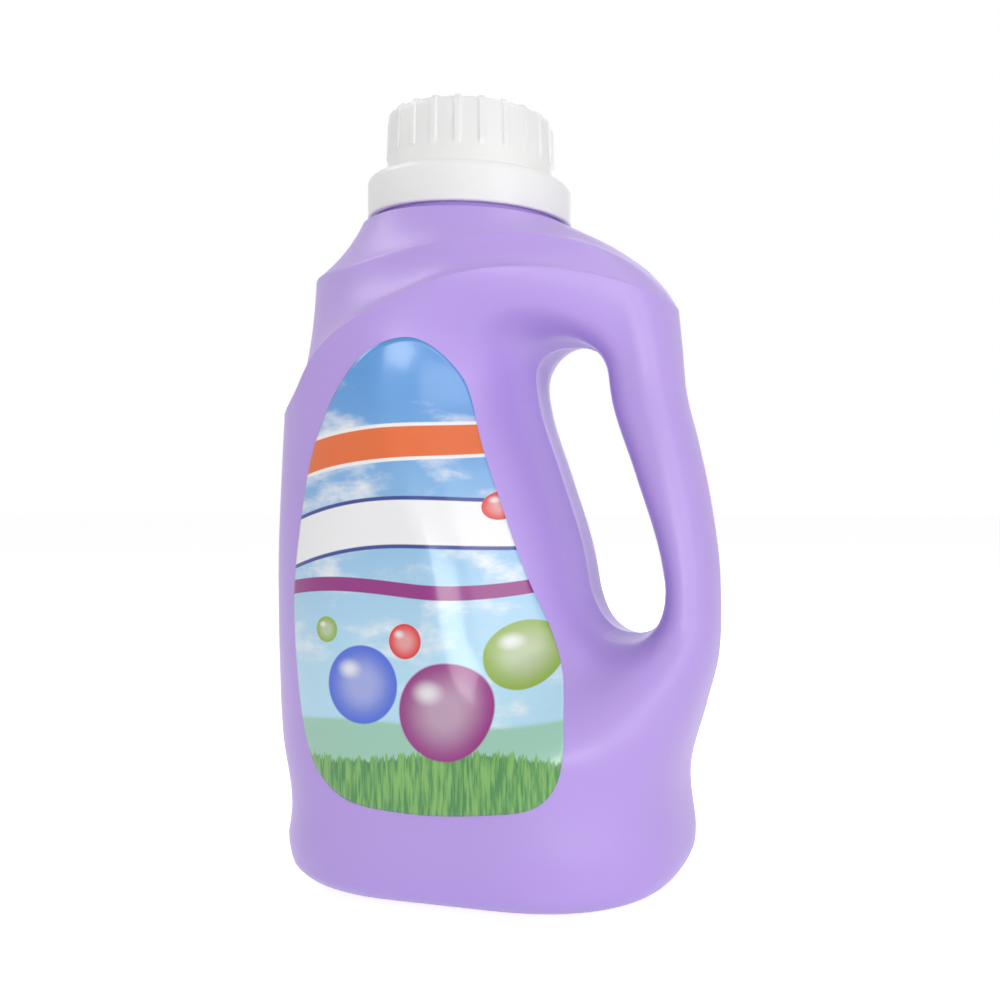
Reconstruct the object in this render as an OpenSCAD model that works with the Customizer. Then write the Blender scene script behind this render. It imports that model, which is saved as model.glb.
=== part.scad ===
// Laundry detergent bottle with a moulded-in handle, a drain-back pour spout
// and a ribbed measuring cap.
// The body stands on the plane z = 0, its handle is on the +X side and its
// front faces -Y. The parting plane of the mould is y = 0.

/* [Body] */
// Width over the body and the handle
width = 148; // [144:1:154]
// Depth of the body from front to back
depth = 97; // [90:1:104]
// Depth of the handle from front to back
handle_depth = 32; // [28:1:38]
// Thickness of the blown wall
wall = 1.1; // [0.9:0.1:1.5]
// Distance of the neck's axis from the middle of the width, towards the side without the handle
neck_offset = 12.3; // [11:0.1:14]

/* [Foot] */
// Radius of the rounded lower edge
foot_r = 15; // [13:1:18]
// Width of the rounded lower edge at the front and the back
foot_front = 20; // [15:0.5:23]
// Width of the flat ring that the bottle stands on
ring_w = 7; // [5:0.5:9]
// Height of the pushed-up middle of the base
push_up = 3; // [2:0.5:5]

/* [Left outline] */
// Inset of the side at the top of the rounded lower edge
left_foot_in = 3.5; // [1:0.5:6]
// Height of the waist
left_waist_z = 26; // [22:1:32]
// Inset of the side at the waist
left_waist_in = 5; // [3:0.5:7]
// Height of the fullest point of the side
left_full_z = 105; // [96:1:116]

/* [Right outline] */
// Inset of the side at the top of the rounded lower edge
right_foot_in = 9.5; // [7:0.5:12]
// Height of the waist
waist_z = 36; // [32:1:42]
// Inset of the side at the waist
right_waist_in = 11.5; // [9:0.5:14]
// Height of the fullest point of the handle
right_full_z = 98; // [92:1:106]
// Height where the handle bends inward
handle_bend_z = 145; // [140:1:152]
// Inset of the handle where it bends inward
handle_bend_in = 7.5; // [6:0.5:10]
// Inset of the handle just under the shoulder
handle_top_in = 13; // [11:0.5:15]

/* [Rounding] */
// Width of the rounding on the side without the handle
left_round = 50; // [44:1:56]
// Width of the rounding on the handle side, below the handle
right_round = 52; // [44:1:56]
// Width of the rounding on the outside of the handle
handle_round = 12; // [10:0.5:14]
// Width of the rolled edge round the finger hole
hole_round = 10; // [8:0.5:11]
// Height of the finger hole's straight wall on each side of the parting plane
hole_wall = 7; // [4:0.5:9]
// Draft of the finger hole's straight wall
hole_draft = 1.2; // [0.8:0.1:1.6]
// Width of the flank that falls from the front towards the hole
flank_w = 36; // [30:1:42]
// Squareness of the roundings, 2 being an ellipse
squareness = 2.4; // [2:0.1:2.8]

/* [Finger hole] */
// Height of the hole's top
hole_top_z = 176; // [172:0.5:179]
// Height of the hole's lower end
hole_low_z = 82; // [78:0.5:88]
// Width of the hole
hole_w = 27.5; // [23:0.5:28]
// Height of the rounded top end
hole_top_round = 11; // [9:0.5:14]
// Height of the rounded lower end
hole_low_round = 20; // [16:0.5:24]
// Place of the hole's top across the width
hole_top_x = 24.2; // [22.5:0.1:27]
// Place of the hole's middle across the width
hole_mid_x = 31; // [29.5:0.1:33]
// Place of the hole's lower end across the width
hole_low_x = 46.3; // [44.5:0.1:48]

/* [Shoulder] */
// Height of the lower step at the side without the handle
step2_left_z = 152; // [148:1:158]
// Height of the lower step at its highest point
step2_top_z = 196; // [194:0.5:198]
// Height of the lower step at the handle side
step2_right_z = 188.5; // [187:0.5:191]
// Height of the upper step at the side without the handle
step1_left_z = 199; // [197:0.5:201]
// Height of the upper step at its highest point
step1_top_z = 207; // [205:0.5:209]
// Height of the upper step at the handle side
step1_right_z = 200.5; // [199:0.5:203]
// Inset of the upper step from the side without the handle
step1_left_in = 7.5; // [6:0.5:10]
// Inset of the upper step from the handle side
step1_right_in = 24; // [22:0.5:28]
// Width of the cove between the neck's ledge and the upper step, at the front
step1_w = 3.5; // [2:0.5:6]
// Inset of the side without the handle at the lower step
left_top_in = 2.2; // [1:0.2:4]
// Inset of the handle side at the lower step
right_top_in = 14.6; // [13:0.2:17]
// Distance below the hole's top at which the shoulder starts to narrow
shoulder_start = 14; // [8:1:20]
// Distance from the neck's axis at which the shoulder starts to narrow
shoulder_flat = 7; // [4:1:12]
// Depth of the shoulder where it meets the handle
shoulder_end = 40; // [36:1:46]

/* [Neck] */
// Height of the neck's foot, just under the collar
neck_z = 218; // [217:0.5:220]
// Width of the ledge round the neck's foot
ledge_w = 6.3; // [4:0.1:7]
// Height of the neck from its foot to its mouth
neck_h = 11.9; // [11:0.1:13]
// Outer radius of the neck
neck_r = 31.2; // [30.8:0.1:31.8]
// Thickness of the neck's wall
neck_wall = 2.6; // [2:0.1:3]
// Height that the retaining bead on the neck stands out
bead_out = 0.8; // [0.5:0.1:1]

/* [Pour spout] */
// Gap between pieces that fit together
fit = 0.3; // [0.2:0.05:0.5]
// Height of the collar's lower edge above the neck's foot
collar_gap = 0.5; // [0.3:0.1:1]
// Thickness of the collar's side
collar_wall = 1.7; // [1.4:0.1:2.4]
// Thickness of the collar's top
collar_top = 1.6; // [1.2:0.1:2]
// Radius of the collar's rounded top edge
collar_round = 2.4; // [1.5:0.1:2.8]
// Wall of the well and the spout
spout_wall = 1.3; // [1:0.1:1.6]
// Depth of the well below the collar's top at its highest point
well_depth = 22; // [20:0.5:24]
// Slope of the well's floor, which drains drips back
well_slope = 8; // [5:1:11]
// Outer radius of the spout at the well's floor
spout_r = 15; // [13:0.5:17]
// Outer radius of the spout at its lip
spout_tip_r = 12.5; // [11:0.5:14]
// Height of the spout's lip above the collar's top
spout_h = 15; // [12:0.5:17]
// Slope of the spout's cut lip
lip_slope = 24; // [18:1:30]
// Width of the slot that lets drips run back in
slot_w = 5; // [4:0.5:7]

/* [Cap] */
// How far the cap's lower edge reaches over the collar
cap_lip = 0.8; // [0.6:0.1:1.6]
// How much the cap's radius shrinks from its lower edge to its top
cap_taper = 0.9; // [0.4:0.1:1.6]
// Height of the cap above the collar
cap_h = 22.2; // [20:0.2:26]
// Radius of the cap's rounded top edge
cap_round = 2.6; // [2:0.1:3.5]
// Thickness of the cap's wall
cap_wall = 1.4; // [1.2:0.1:1.8]
// Length of the cap's skirt inside the collar
skirt_l = 14; // [10:0.5:16]
// Number of grip ribs
rib_n = 22; // [18:1:26]
// Width of a grip rib in degrees round the cap
rib_angle = 4.4; // [3:0.2:6]
// Height of a grip rib above the cap's side
rib_out = 0.6; // [0.4:0.1:0.8]
// Height of the plain band below the ribs
band_h = 6.5; // [5:0.5:8]

/* [Label] */
// Thickness of the label
label_t = 0.15; // [0.1:0.05:0.3]
// Height of the label's lower edge
label_low_z = 31; // [28:0.5:36]
// Height of the label's top
label_top_z = 174.5; // [170:0.5:176]
// Place of the label's left edge across the width
label_left_x = -53.5; // [-55:0.5:-51]
// Width of the label at its widest
label_w = 89; // [84:1:91]

/* [Hidden] */

half_w = width / 2;
neck_x = -neck_offset;
ledge_r = neck_r + ledge_w;
step1_depth = 2 * (ledge_r + step1_w);
bore_r = neck_r - neck_wall;
well_r = bore_r - fit;
collar_r = neck_r + bead_out + fit + collar_wall;
collar_z = neck_z + collar_gap;
collar_top_z = neck_z + neck_h + fit + collar_top;
label_gap = 0.45;

// Smooth curve through points [z, x] in rising z, with three-point tangents
function seg(pts, z, i = 0) = i >= len(pts) - 2 || z < pts[i + 1][0] ? i : seg(pts, z, i + 1);
function slope(pts, i) = (pts[i + 1][1] - pts[i][1]) / (pts[i + 1][0] - pts[i][0]);
function gap(pts, i) = pts[i + 1][0] - pts[i][0];
function tangent(pts, i) =
    i == 0 ? slope(pts, 0) :
    i == len(pts) - 1 ? slope(pts, i - 1) :
    (slope(pts, i) * gap(pts, i - 1) + slope(pts, i - 1) * gap(pts, i)) / (gap(pts, i) + gap(pts, i - 1));
function blend(a, b, ta, tb, h, t) =
    (2 * t ^ 3 - 3 * t ^ 2 + 1) * a + (t ^ 3 - 2 * t ^ 2 + t) * h * ta
    + (3 * t ^ 2 - 2 * t ^ 3) * b + (t ^ 3 - t ^ 2) * h * tb;
function curve(pts, z) =
    let (i = seg(pts, z), t = min(1, max(0, (z - pts[i][0]) / gap(pts, i))))
    blend(pts[i][1], pts[i + 1][1], tangent(pts, i), tangent(pts, i + 1), gap(pts, i), t);
function ramp(t) = let (c = min(1, max(0, t))) c * c * (3 - 2 * c);
function mix(a, b, t) = a + (b - a) * t;

// Outlines of the two sides in the parting plane
left_pts = [
    [foot_r, left_foot_in], [left_waist_z, left_waist_in],
    [mix(left_waist_z, left_full_z, 0.3), left_waist_in / 3], [mix(left_waist_z, left_full_z, 0.6), left_waist_in / 12],
    [left_full_z, 0], [mix(left_full_z, step2_left_z, 0.72), 0.64 * left_top_in], [step2_left_z, left_top_in]
];
right_pts = [
    [foot_r, right_foot_in], [waist_z, right_waist_in],
    [mix(waist_z, right_full_z, 0.36), right_waist_in / 2.1], [mix(waist_z, right_full_z, 0.6), right_waist_in / 10],
    [right_full_z, 0],
    [mix(right_full_z, handle_bend_z, 0.6), handle_bend_in / 2.2], [handle_bend_z, handle_bend_in],
    [mix(handle_bend_z, step2_right_z, 0.33), mix(handle_bend_in, handle_top_in, 0.67)],
    [mix(handle_bend_z, step2_right_z, 0.7), handle_top_in], [step2_right_z, right_top_in]
];
function left_x(z) = -half_w + curve(left_pts, z);
function right_x(z) = half_w - curve(right_pts, z);

// Finger hole: a bent slot whose half width shrinks over its two ends, which are squarer than an ellipse
hole_line = [
    [hole_low_z, hole_low_x], [mix(hole_low_z, hole_top_z, 0.3), mix(hole_low_x, hole_mid_x, 0.3)],
    [mix(hole_low_z, hole_top_z, 0.55), mix(hole_low_x, hole_mid_x, 0.8)],
    [mix(hole_low_z, hole_top_z, 0.8), mix(hole_mid_x, hole_top_x, 0.7)], [hole_top_z, hole_top_x]
];
function hole_at(z, side) = [curve(hole_line, z) + side * hole_w / 2, z];
end_power = 0.85;
function powered(v) = sign(v) * abs(v) ^ end_power;
function hole_end(z0, r, a) =
    let (z = z0 + r * powered(sin(a))) [curve(hole_line, z) + hole_w / 2 * powered(cos(a)), z];
hole_z1 = hole_top_z - hole_top_round;
hole_z0 = hole_low_z + hole_low_round;

// Counts of columns along each stretch of the grid
top_n = 22;
handle_n = 12;
heel_n = 6;
base_n = 18;
side_n = 14;

function spread(i, n) = (1 - cos(180 * i / n)) / 2;

// The hole's rim, clockwise from the place that looks at the lower step's left end
top_side_n = 7;
top_round_n = top_n - top_side_n;
rim_turn_z = mix(hole_z0, hole_z1, 0.62);
hole_rim = concat(
    [for (i = [0 : top_side_n - 1]) hole_at(mix(rim_turn_z, hole_z1, i / top_side_n), -1)],
    [for (i = [0 : top_round_n - 1]) hole_end(hole_z1, hole_top_round, 180 - 180 * i / top_round_n)],
    [for (i = [0 : handle_n - 1]) hole_at(mix(hole_z1, hole_z0, i / handle_n), 1)],
    [for (i = [0 : heel_n - 1]) hole_end(hole_z0, hole_low_round, -75 * i / heel_n)],
    [for (i = [0 : base_n - 1]) hole_end(hole_z0, hole_low_round, -75 - 105 * i / base_n)],
    [for (i = [0 : side_n - 1]) hole_at(mix(hole_z0, rim_turn_z, i / side_n), -1)]
);
rim_n = len(hole_rim);

// The shoulder's lower step: shares of the width, and of the rise from its left end
step2_ends = [left_x(step2_left_z), right_x(step2_right_z)];
step2_pts = [
    for (p = [[0, 0], [0.07, 0.03], [0.14, 0.16], [0.2, 0.37], [0.28, 0.56], [0.38, 0.71], [0.54, 0.89], [0.76, 1]])
        [mix(step2_ends[0], step2_ends[1], p[0]), mix(step2_left_z, step2_top_z, p[1])],
    [mix(step2_ends[0], step2_ends[1], 0.87), mix(step2_right_z, step2_top_z, 0.8)],
    [mix(step2_ends[0], step2_ends[1], 0.94), mix(step2_right_z, step2_top_z, 0.45)],
    [step2_ends[1], step2_right_z]
];

// The upper step, in the same way
step1_ends = [step1_left_in - half_w, half_w - step1_right_in];
step1_pts = [
    [step1_ends[0], step1_left_z], [mix(step1_ends[0], step1_ends[1], 0.22), step1_left_z],
    [mix(step1_ends[0], step1_ends[1], 0.5), mix(step1_left_z, step1_top_z, 0.5)],
    [mix(step1_ends[0], step1_ends[1], 0.8), step1_top_z],
    [mix(step1_ends[0], step1_ends[1], 0.92), mix(step1_right_z, step1_top_z, 0.6)], [step1_ends[1], step1_right_z]
];

// Distance from a point to the hole's rim
function seg_dist(p, a, b) =
    let (d = b - a, t = min(1, max(0, (p - a) * d / (d * d)))) norm(p - a - t * d);
function hole_dist(p) = min([for (i = [0 : rim_n - 1]) seg_dist(p, hole_rim[i], hole_rim[(i + 1) % rim_n])]);

// Half depth of the body at a place of the parting plane, with its skin moved in by w
function rounding(d, r) = let (t = min(1, max(0, d / r))) (1 - (1 - t) ^ squareness) ^ (1 / squareness);
function shoulder_share(z) =
    ramp((z - hole_top_z + shoulder_start) / (step2_top_z - hole_top_z + shoulder_start));
function shoulder_fall(x, end) = ramp((x - neck_x - shoulder_flat) / (end - neck_x - shoulder_flat));
// Rise over the finger hole's edge: a straight wall, but not on the handle, and then the rolled edge
function hole_rise(p, w, full) =
    let (
        d = hole_dist(p) - w,
        side = (p[0] - curve(hole_line, p[1])) / (hole_w / 2),
        straight = 1 - ramp((side - 0.3) / 0.7),
        share = straight * hole_wall / full,
        start = straight * hole_draft
    )
    share * min(1, max(0, d / hole_draft)) + (1 - share) * rounding(d - start, hole_round - start - w);
function handle_share(z) = ramp((z - hole_low_z + flank_w) / (flank_w + hole_low_round / 3));
function half_depth(p, w) =
    let (
        x = p[0],
        z = p[1],
        share = handle_share(z),
        flank = ramp((curve(hole_line, z) - x) / (hole_w / 2 + flank_w)),
        low = mix(depth / 2, mix(handle_depth / 2, depth / 2, flank), share),
        full = mix(low, mix(depth / 2, shoulder_end / 2, shoulder_fall(x, step2_ends[1])), shoulder_share(z)),
        right_r = mix(right_round, handle_round, share),
        l = rounding(x - left_x(z) - w, left_round - w),
        r = rounding(right_x(z) - w - x, right_r - w)
    )
    (full - w) * l * r * hole_rise(p, w, full);

// Rim of the hole and edge of the main panel, both clockwise from the upper left
function turn(v) = [-v[1], v[0]] / norm(v);
function rim_at(i, w) =
    hole_rim[i] + w * turn(hole_rim[(i + 1) % rim_n] - hole_rim[(i + rim_n - 1) % rim_n]);
function step2_at(i, w) =
    let (x = mix(step2_ends[0] + w, step2_ends[1] - w, spread(i, top_n))) [x, curve(step2_pts, x) - w];
function side_at(z, w, side) = [side > 0 ? right_x(z) - w : left_x(z) + w, z];
function edge_at(i, w) =
    i <= top_n ? step2_at(i, w) :
    i < heel_i ? side_at(mix(step2_right_z - w, heel_z, (i - top_n) / handle_n), w, 1) :
    i < base_i ? side_at(mix(heel_z, foot_r, (i - heel_i) / heel_n), w, 1) :
    i < side_i ? [mix(right_x(foot_r) - w, left_x(foot_r) + w, spread(i - base_i, base_n)), foot_r] :
    side_at(mix(foot_r, step2_left_z - w, (i - side_i) / side_n), w, -1);
heel_i = top_n + handle_n;
base_i = heel_i + heel_n;
side_i = base_i + base_n;
heel_z = hole_low_z + 0.4 * hole_low_round;

// Rings from the hole's rim to the panel's edge, closer together at both ends
rings = 13;

// Main panel of one skin: [x, y, z] for each ray and ring, in front (side -1) or behind
function on_parting(i, k) = k == 0 || k == rings && (i == 0 || i >= top_n && i <= base_i || i >= side_i);
function panel_point(i, k, w, side) =
    let (
        a = rim_at(i, w),
        b = edge_at(i, w),
        p = a + (b - a) * spread(k, rings)
    )
    [p[0], on_parting(i, k) ? 0 : side * half_depth(p, w), p[1]];
function panel(w, side) =
    [for (i = [0 : rim_n - 1]) for (k = [0 : rings]) panel_point(i, k, w, side)];

// Loops of the shoulder and neck, each from the left end through the front to the right and back
loop_n = 2 * top_n;
function fold(j, n) = j <= n ? j : 2 * n - j;
function front(j, n) = j <= n ? -1 : 1;
function step1_point(j, w) =
    let (i = fold(j, top_n), x = mix(step1_ends[0] + w, step1_ends[1] - w, spread(i, top_n)))
    [x, front(j, top_n) * (step1_depth / 2 - w) * abs(sin(180 * i / top_n)) * step1_taper(x), curve(step1_pts, x) - w];
function step1_taper(x) = mix(1, 0.72, shoulder_fall(x, step1_ends[1]));
function step2_point(j, w) =
    let (i = fold(j, top_n), p = step2_at(i, w))
    [p[0], i == 0 || i == top_n ? 0 : front(j, top_n) * half_depth(p, w), p[1]];
function ring_point(j, r, z) =
    let (a = 180 * fold(j, top_n) / top_n)
    [neck_x - r * cos(a), front(j, top_n) * r * (a == 0 || a == 180 ? 0 : sin(a)), z];
function cove(a, b, v, c) =
    let (k = mix(v, 1 - cos(90 * v), c), g = mix(v, sin(90 * v), c))
    [mix(a[0], b[0], k), mix(a[1], b[1], k), mix(a[2], b[2], g)];
cove2_steps = 5;
cove1_steps = 5;

// Hollowness of the two coves: the lower one flattens towards the handle, the upper one towards both ends
function hollow2(j) = 0.75 * (1 - ramp((fold(j, top_n) / top_n - 0.65) / 0.35));
function hollow1(j) = 0.5 * abs(sin(180 * j / top_n));
function cove2_loops(w) = [
    for (l = [cove2_steps - 1 : -1 : 1]) for (j = [0 : loop_n - 1])
        cove(step1_point(j, w), step2_point(j, w), l / cove2_steps, hollow2(j))
];
function cove1_loops(w, r, z) = [
    for (l = [cove1_steps : -1 : 1]) for (j = [0 : loop_n - 1])
        cove(ring_point(j, r, z), step1_point(j, w), l / cove1_steps, hollow1(j))
];
ledge_drop = 0.8;
mouth_z = neck_z + neck_h;
bead_z = neck_z + 4.6;
neck_profile = [
    [ledge_r, neck_z - ledge_drop], [neck_r, neck_z], [neck_r, bead_z - 0.9], [neck_r + bead_out, bead_z - 0.5],
    [neck_r + bead_out, bead_z + 0.4], [neck_r, bead_z + 1.6], [neck_r, mouth_z - 0.8],
    [neck_r - 0.8, mouth_z], [bore_r + 0.5, mouth_z], [bore_r, mouth_z - 0.5], [bore_r, neck_z - wall],
    [ledge_r - wall, neck_z - ledge_drop - wall]
];
neck_loops = [for (p = neck_profile) for (j = [0 : loop_n - 1]) ring_point(j, p[0], p[1])];

// Loops of the base, from the rounded lower edge to the pushed-up middle
foot_loop_n = 2 * base_n;
foot_steps = 4;
function foot_profile(w) = concat(
    [for (l = [1 : foot_steps]) let (a = 90 * l / foot_steps, r = foot_r - w)
        [r * (1 - cos(a)), w + r * (1 - sin(a))]],
    [[foot_r - w + ring_w, w], [foot_r - w + ring_w + 4, w + push_up]]
);
function foot_point(j, w, q) =
    let (
        i = fold(j, base_n),
        p = edge_at(base_i + i, w),
        mid = (left_x(foot_r) + right_x(foot_r)) / 2,
        a = (right_x(foot_r) - left_x(foot_r)) / 2 - w,
        b = depth / 2 - w,
        y = i == 0 || i == base_n ? 0 : front(j, base_n) * half_depth(p, w)
    )
    [mid + (p[0] - mid) * (1 - q[0] / a), y * (1 - q[0] * foot_front / foot_r / b), q[1]];
function foot_loops(w) = [for (q = foot_profile(w)) for (j = [0 : foot_loop_n - 1]) foot_point(j, w, q)];
function foot_middle(w) = [[(left_x(foot_r) + right_x(foot_r)) / 2, 0, w + push_up]];

// Places of the point lists in the whole body's list of points
panel_n = rim_n * (rings + 1);
loops2_n = (cove2_steps - 1) * loop_n;
loops1_n = cove1_steps * loop_n;
foot_n = len(foot_profile(0)) * foot_loop_n + 1;
skin_n = 2 * panel_n + loops2_n + loops1_n + foot_n;
function panel_id(skin, side, i, k) =
    skin * skin_n + (side > 0 && !on_parting(i % rim_n, k) ? panel_n : 0) + (i % rim_n) * (rings + 1) + k;
function step2_id(skin, j) = panel_id(skin, front(j, top_n), fold(j, top_n), rings);
function shoulder_id(skin, l, j) = skin * skin_n + 2 * panel_n + l * loop_n + j;
function foot_id(skin, l, j) =
    l == 0 ? panel_id(skin, front(j, base_n), base_i + fold(j, base_n), rings) :
    skin * skin_n + 2 * panel_n + loops2_n + loops1_n + (l - 1) * foot_loop_n + j;
function neck_id(l, j) = 2 * skin_n + l * loop_n + j;

function skin_points(w, neck_ring) = concat(
    panel(w, -1), panel(w, 1), cove2_loops(w), cove1_loops(w, neck_ring[0], neck_ring[1]),
    foot_loops(w), foot_middle(w)
);

// Triangles between two rows of points along the shorter diagonals, turned over for the other side of a skin
function face(f, over) = over ? [f[2], f[1], f[0]] : f;
function strip(pts, a, b, over) = [
    for (i = [0 : len(a) - 2])
        let (rising = norm(pts[a[i]] - pts[b[i + 1]]) < norm(pts[b[i]] - pts[a[i + 1]]))
        each [
            face([a[i], b[i], rising ? b[i + 1] : a[i + 1]], over),
            face([rising ? a[i] : b[i], b[i + 1], a[i + 1]], over)
        ]
];
function ring_row(skin, side, k) = [for (i = [0 : rim_n]) panel_id(skin, side, i, k)];
function shoulder_rows(skin) = concat(
    [[for (j = [0 : loop_n]) step2_id(skin, j % loop_n)]],
    [for (l = [0 : cove2_steps + cove1_steps - 2]) [for (j = [0 : loop_n]) shoulder_id(skin, l, j % loop_n)]]
);
function foot_rows(skin) =
    [for (l = [0 : len(foot_profile(0))]) [for (j = [0 : foot_loop_n]) foot_id(skin, l, j % foot_loop_n)]];
function neck_rows() = [for (l = [0 : len(neck_profile) - 1]) [for (j = [0 : loop_n]) neck_id(l, j % loop_n)]];
function rows_faces(pts, rows, over) = [for (l = [0 : len(rows) - 2]) each strip(pts, rows[l], rows[l + 1], over)];
function skin_faces(pts, skin) = concat(
    rows_faces(pts, [for (k = [0 : rings]) ring_row(skin, -1, k)], skin == 1),
    rows_faces(pts, [for (k = [0 : rings]) ring_row(skin, 1, k)], skin == 0),
    rows_faces(pts, foot_rows(skin), skin == 1),
    [for (j = [0 : foot_loop_n - 1])
        face([foot_rows(skin)[len(foot_profile(0))][j], (skin + 1) * skin_n - 1,
            foot_rows(skin)[len(foot_profile(0))][j + 1]], skin == 1)]
);
function reversed(rows) = [for (i = [len(rows) - 1 : -1 : 0]) rows[i]];

// The blown body: outer skin, neck and inner skin as one closed shell
module bottle() {
    pts = concat(skin_points(0, neck_profile[0]), skin_points(wall, neck_profile[len(neck_profile) - 1]), neck_loops);
    color([0.69, 0.57, 0.89])
        polyhedron(pts, concat(
            skin_faces(pts, 0), skin_faces(pts, 1),
            rows_faces(pts, concat(shoulder_rows(0), neck_rows(), reversed(shoulder_rows(1))), false)
        ));
}

// Round arc of points in a profile
function arc(x, z, r, a0, a1, n = 5) = [for (i = [0 : n]) let (a = mix(a0, a1, i / n)) [x + r * cos(a), z + r * sin(a)]];

// Pour spout: collar over the neck, well inside it, and a slanted spout on the well's floor
skirt_r = neck_r + bead_out + fit;
snap_z = bead_z - 0.9 - fit;
well_in = well_r - spout_wall;
floor_z = collar_top_z - well_depth;
floor_drop = well_in * tan(well_slope);
well_low_z = floor_z - 2 * floor_drop - 0.5;
tip_z = collar_top_z + spout_h;
lip_drop = spout_tip_r * tan(lip_slope);
module collar_profile() {
    polygon(concat(
        [[skirt_r, collar_z], [collar_r - 0.4, collar_z], [collar_r, collar_z + 0.4]],
        arc(collar_r - collar_round, collar_top_z - collar_round, collar_round, 0, 90),
        [[well_in + 0.5, collar_top_z], [well_in, collar_top_z - 0.5], [well_in, well_low_z],
         [well_r, well_low_z], [well_r, mouth_z + fit], [skirt_r, mouth_z + fit],
         [skirt_r, snap_z], [skirt_r - 0.6, snap_z - 0.5], [skirt_r - 0.6, snap_z - 1.1], [skirt_r, snap_z - 1.7]]
    ));
}
module sloped_floor() {
    intersection() {
        translate([0, 0, floor_z - 2 * floor_drop - spout_wall])
            cylinder(r = well_in + spout_wall / 2, h = 3 * floor_drop + spout_wall, $fn = 96);
        translate([0, 0, floor_z - floor_drop])
            rotate([0, well_slope, 0])
                translate([-2 * well_r, -2 * well_r, 0])
                    cube([4 * well_r, 4 * well_r, spout_wall]);
    }
}
module spout_shape(grow, low) {
    translate([0, 0, low])
        cylinder(
            r1 = spout_r + grow, r2 = spout_tip_r + grow,
            h = tip_z - low, $fn = 72
        );
}
module pour_spout() {
    low = floor_z - floor_drop - spout_r * tan(well_slope);
    color([0.96, 0.96, 0.95])
        translate([neck_x, 0, 0])
            difference() {
                union() {
                    rotate_extrude($fn = 120) collar_profile();
                    sloped_floor();
                    spout_shape(0, low);
                }
                // Bore of the spout
                spout_shape(-spout_wall, low - 0.01);
                // Slanted lip, highest on the side without the handle
                translate([0, 0, tip_z - lip_drop])
                    rotate([0, lip_slope, 0])
                        translate([-spout_r, -spout_r, 0])
                            cube([2 * spout_r, 2 * spout_r, spout_h]);
                // Slot through which drips run back
                translate([spout_tip_r - 2 * spout_wall, -slot_w / 2, floor_z - floor_drop - spout_r * tan(well_slope)])
                    cube([4 * spout_wall, slot_w, tip_z - floor_z]);
            }
}

// Cap: an inverted measuring cup whose skirt screws into the well
cap_z = collar_top_z + fit;
cap_top_z = collar_top_z + cap_h;
skirt_out_r = well_in - 2 * fit;
cap_in_r = skirt_out_r - cap_wall;
cap_r = well_in + cap_lip;
cap_top_r = cap_r - cap_taper;
function cap_side_r(z) = mix(cap_r, cap_top_r, (z - cap_z) / (cap_top_z - cap_z));
module cap_profile() {
    polygon(concat(
        [[0, cap_top_z]],
        arc(cap_side_r(cap_top_z - cap_round) - cap_round, cap_top_z - cap_round, cap_round, 90, 0),
        [[cap_r, cap_z + 0.3], [cap_r - 0.3, cap_z], [skirt_out_r, cap_z],
         [skirt_out_r, cap_z - skirt_l + 1], [skirt_out_r - 0.5, cap_z - skirt_l], [cap_in_r, cap_z - skirt_l],
         [cap_in_r, cap_top_z - cap_wall - 2], [cap_in_r - 2, cap_top_z - cap_wall], [0, cap_top_z - cap_wall]]
    ));
}
module cap_rib() {
    z0 = cap_z + band_h;
    rotate([0, 0, -rib_angle / 2])
        rotate_extrude(angle = rib_angle, $fn = 120)
            polygon(concat(
                [[cap_side_r(z0) - 0.4, z0 - 0.6], [cap_side_r(z0) + rib_out, z0]],
                arc(cap_side_r(cap_top_z - cap_round) - cap_round, cap_top_z - cap_round, cap_round + rib_out, 0, 62),
                [[cap_side_r(cap_top_z) - cap_round - 0.5, cap_top_z - 0.5]]
            ));
}
module cap() {
    color([0.97, 0.97, 0.96])
        translate([neck_x, 0, 0])
            union() {
                rotate_extrude($fn = 120) cap_profile();
                for (i = [0 : rib_n - 1]) rotate([0, 0, 360 * (i + 0.5) / rib_n]) cap_rib();
            }
}

// Label: a thin film on the front whose outline is a smooth closed curve
label_shape = [
    [0.39, 1], [0.6, 0.895], [0.715, 0.7], [0.89, 0.47], [1, 0.226], [0.936, 0.059],
    [0.634, 0.008], [0.32, 0], [0.087, 0.109], [0, 0.408], [0.03, 0.728], [0.169, 0.934]
];
label_mid = [0.47, 0.45];
label_steps = 6;
label_ring_n = 9;
label_n = len(label_shape) * label_steps;
function label_edge(i) =
    let (
        n = len(label_shape),
        k = floor(i / label_steps),
        t = i / label_steps - k,
        a = label_shape[(k + n - 1) % n],
        b = label_shape[k % n],
        c = label_shape[(k + 1) % n],
        d = label_shape[(k + 2) % n]
    )
    b + (c - a) / 2 * t + (2 * a - 5 * b + 4 * c - d) / 2 * t ^ 2 + (3 * b - a - 3 * c + d) / 2 * t ^ 3;
function label_point(i, k, out) =
    let (
        q = label_mid + (label_edge(i) - label_mid) * k / label_ring_n,
        p = [label_left_x + label_w * q[0], mix(label_low_z, label_top_z, q[1])]
    )
    [p[0], -half_depth(p, -out), p[1]];
function label_skin(out) =
    concat([label_point(0, 0, out)], [for (k = [1 : label_ring_n]) for (i = [0 : label_n - 1]) label_point(i, k, out)]);
label_skin_n = 1 + label_ring_n * label_n;
function label_row(skin, k) = [for (i = [0 : label_n]) skin * label_skin_n + 1 + (k - 1) * label_n + i % label_n];
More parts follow.
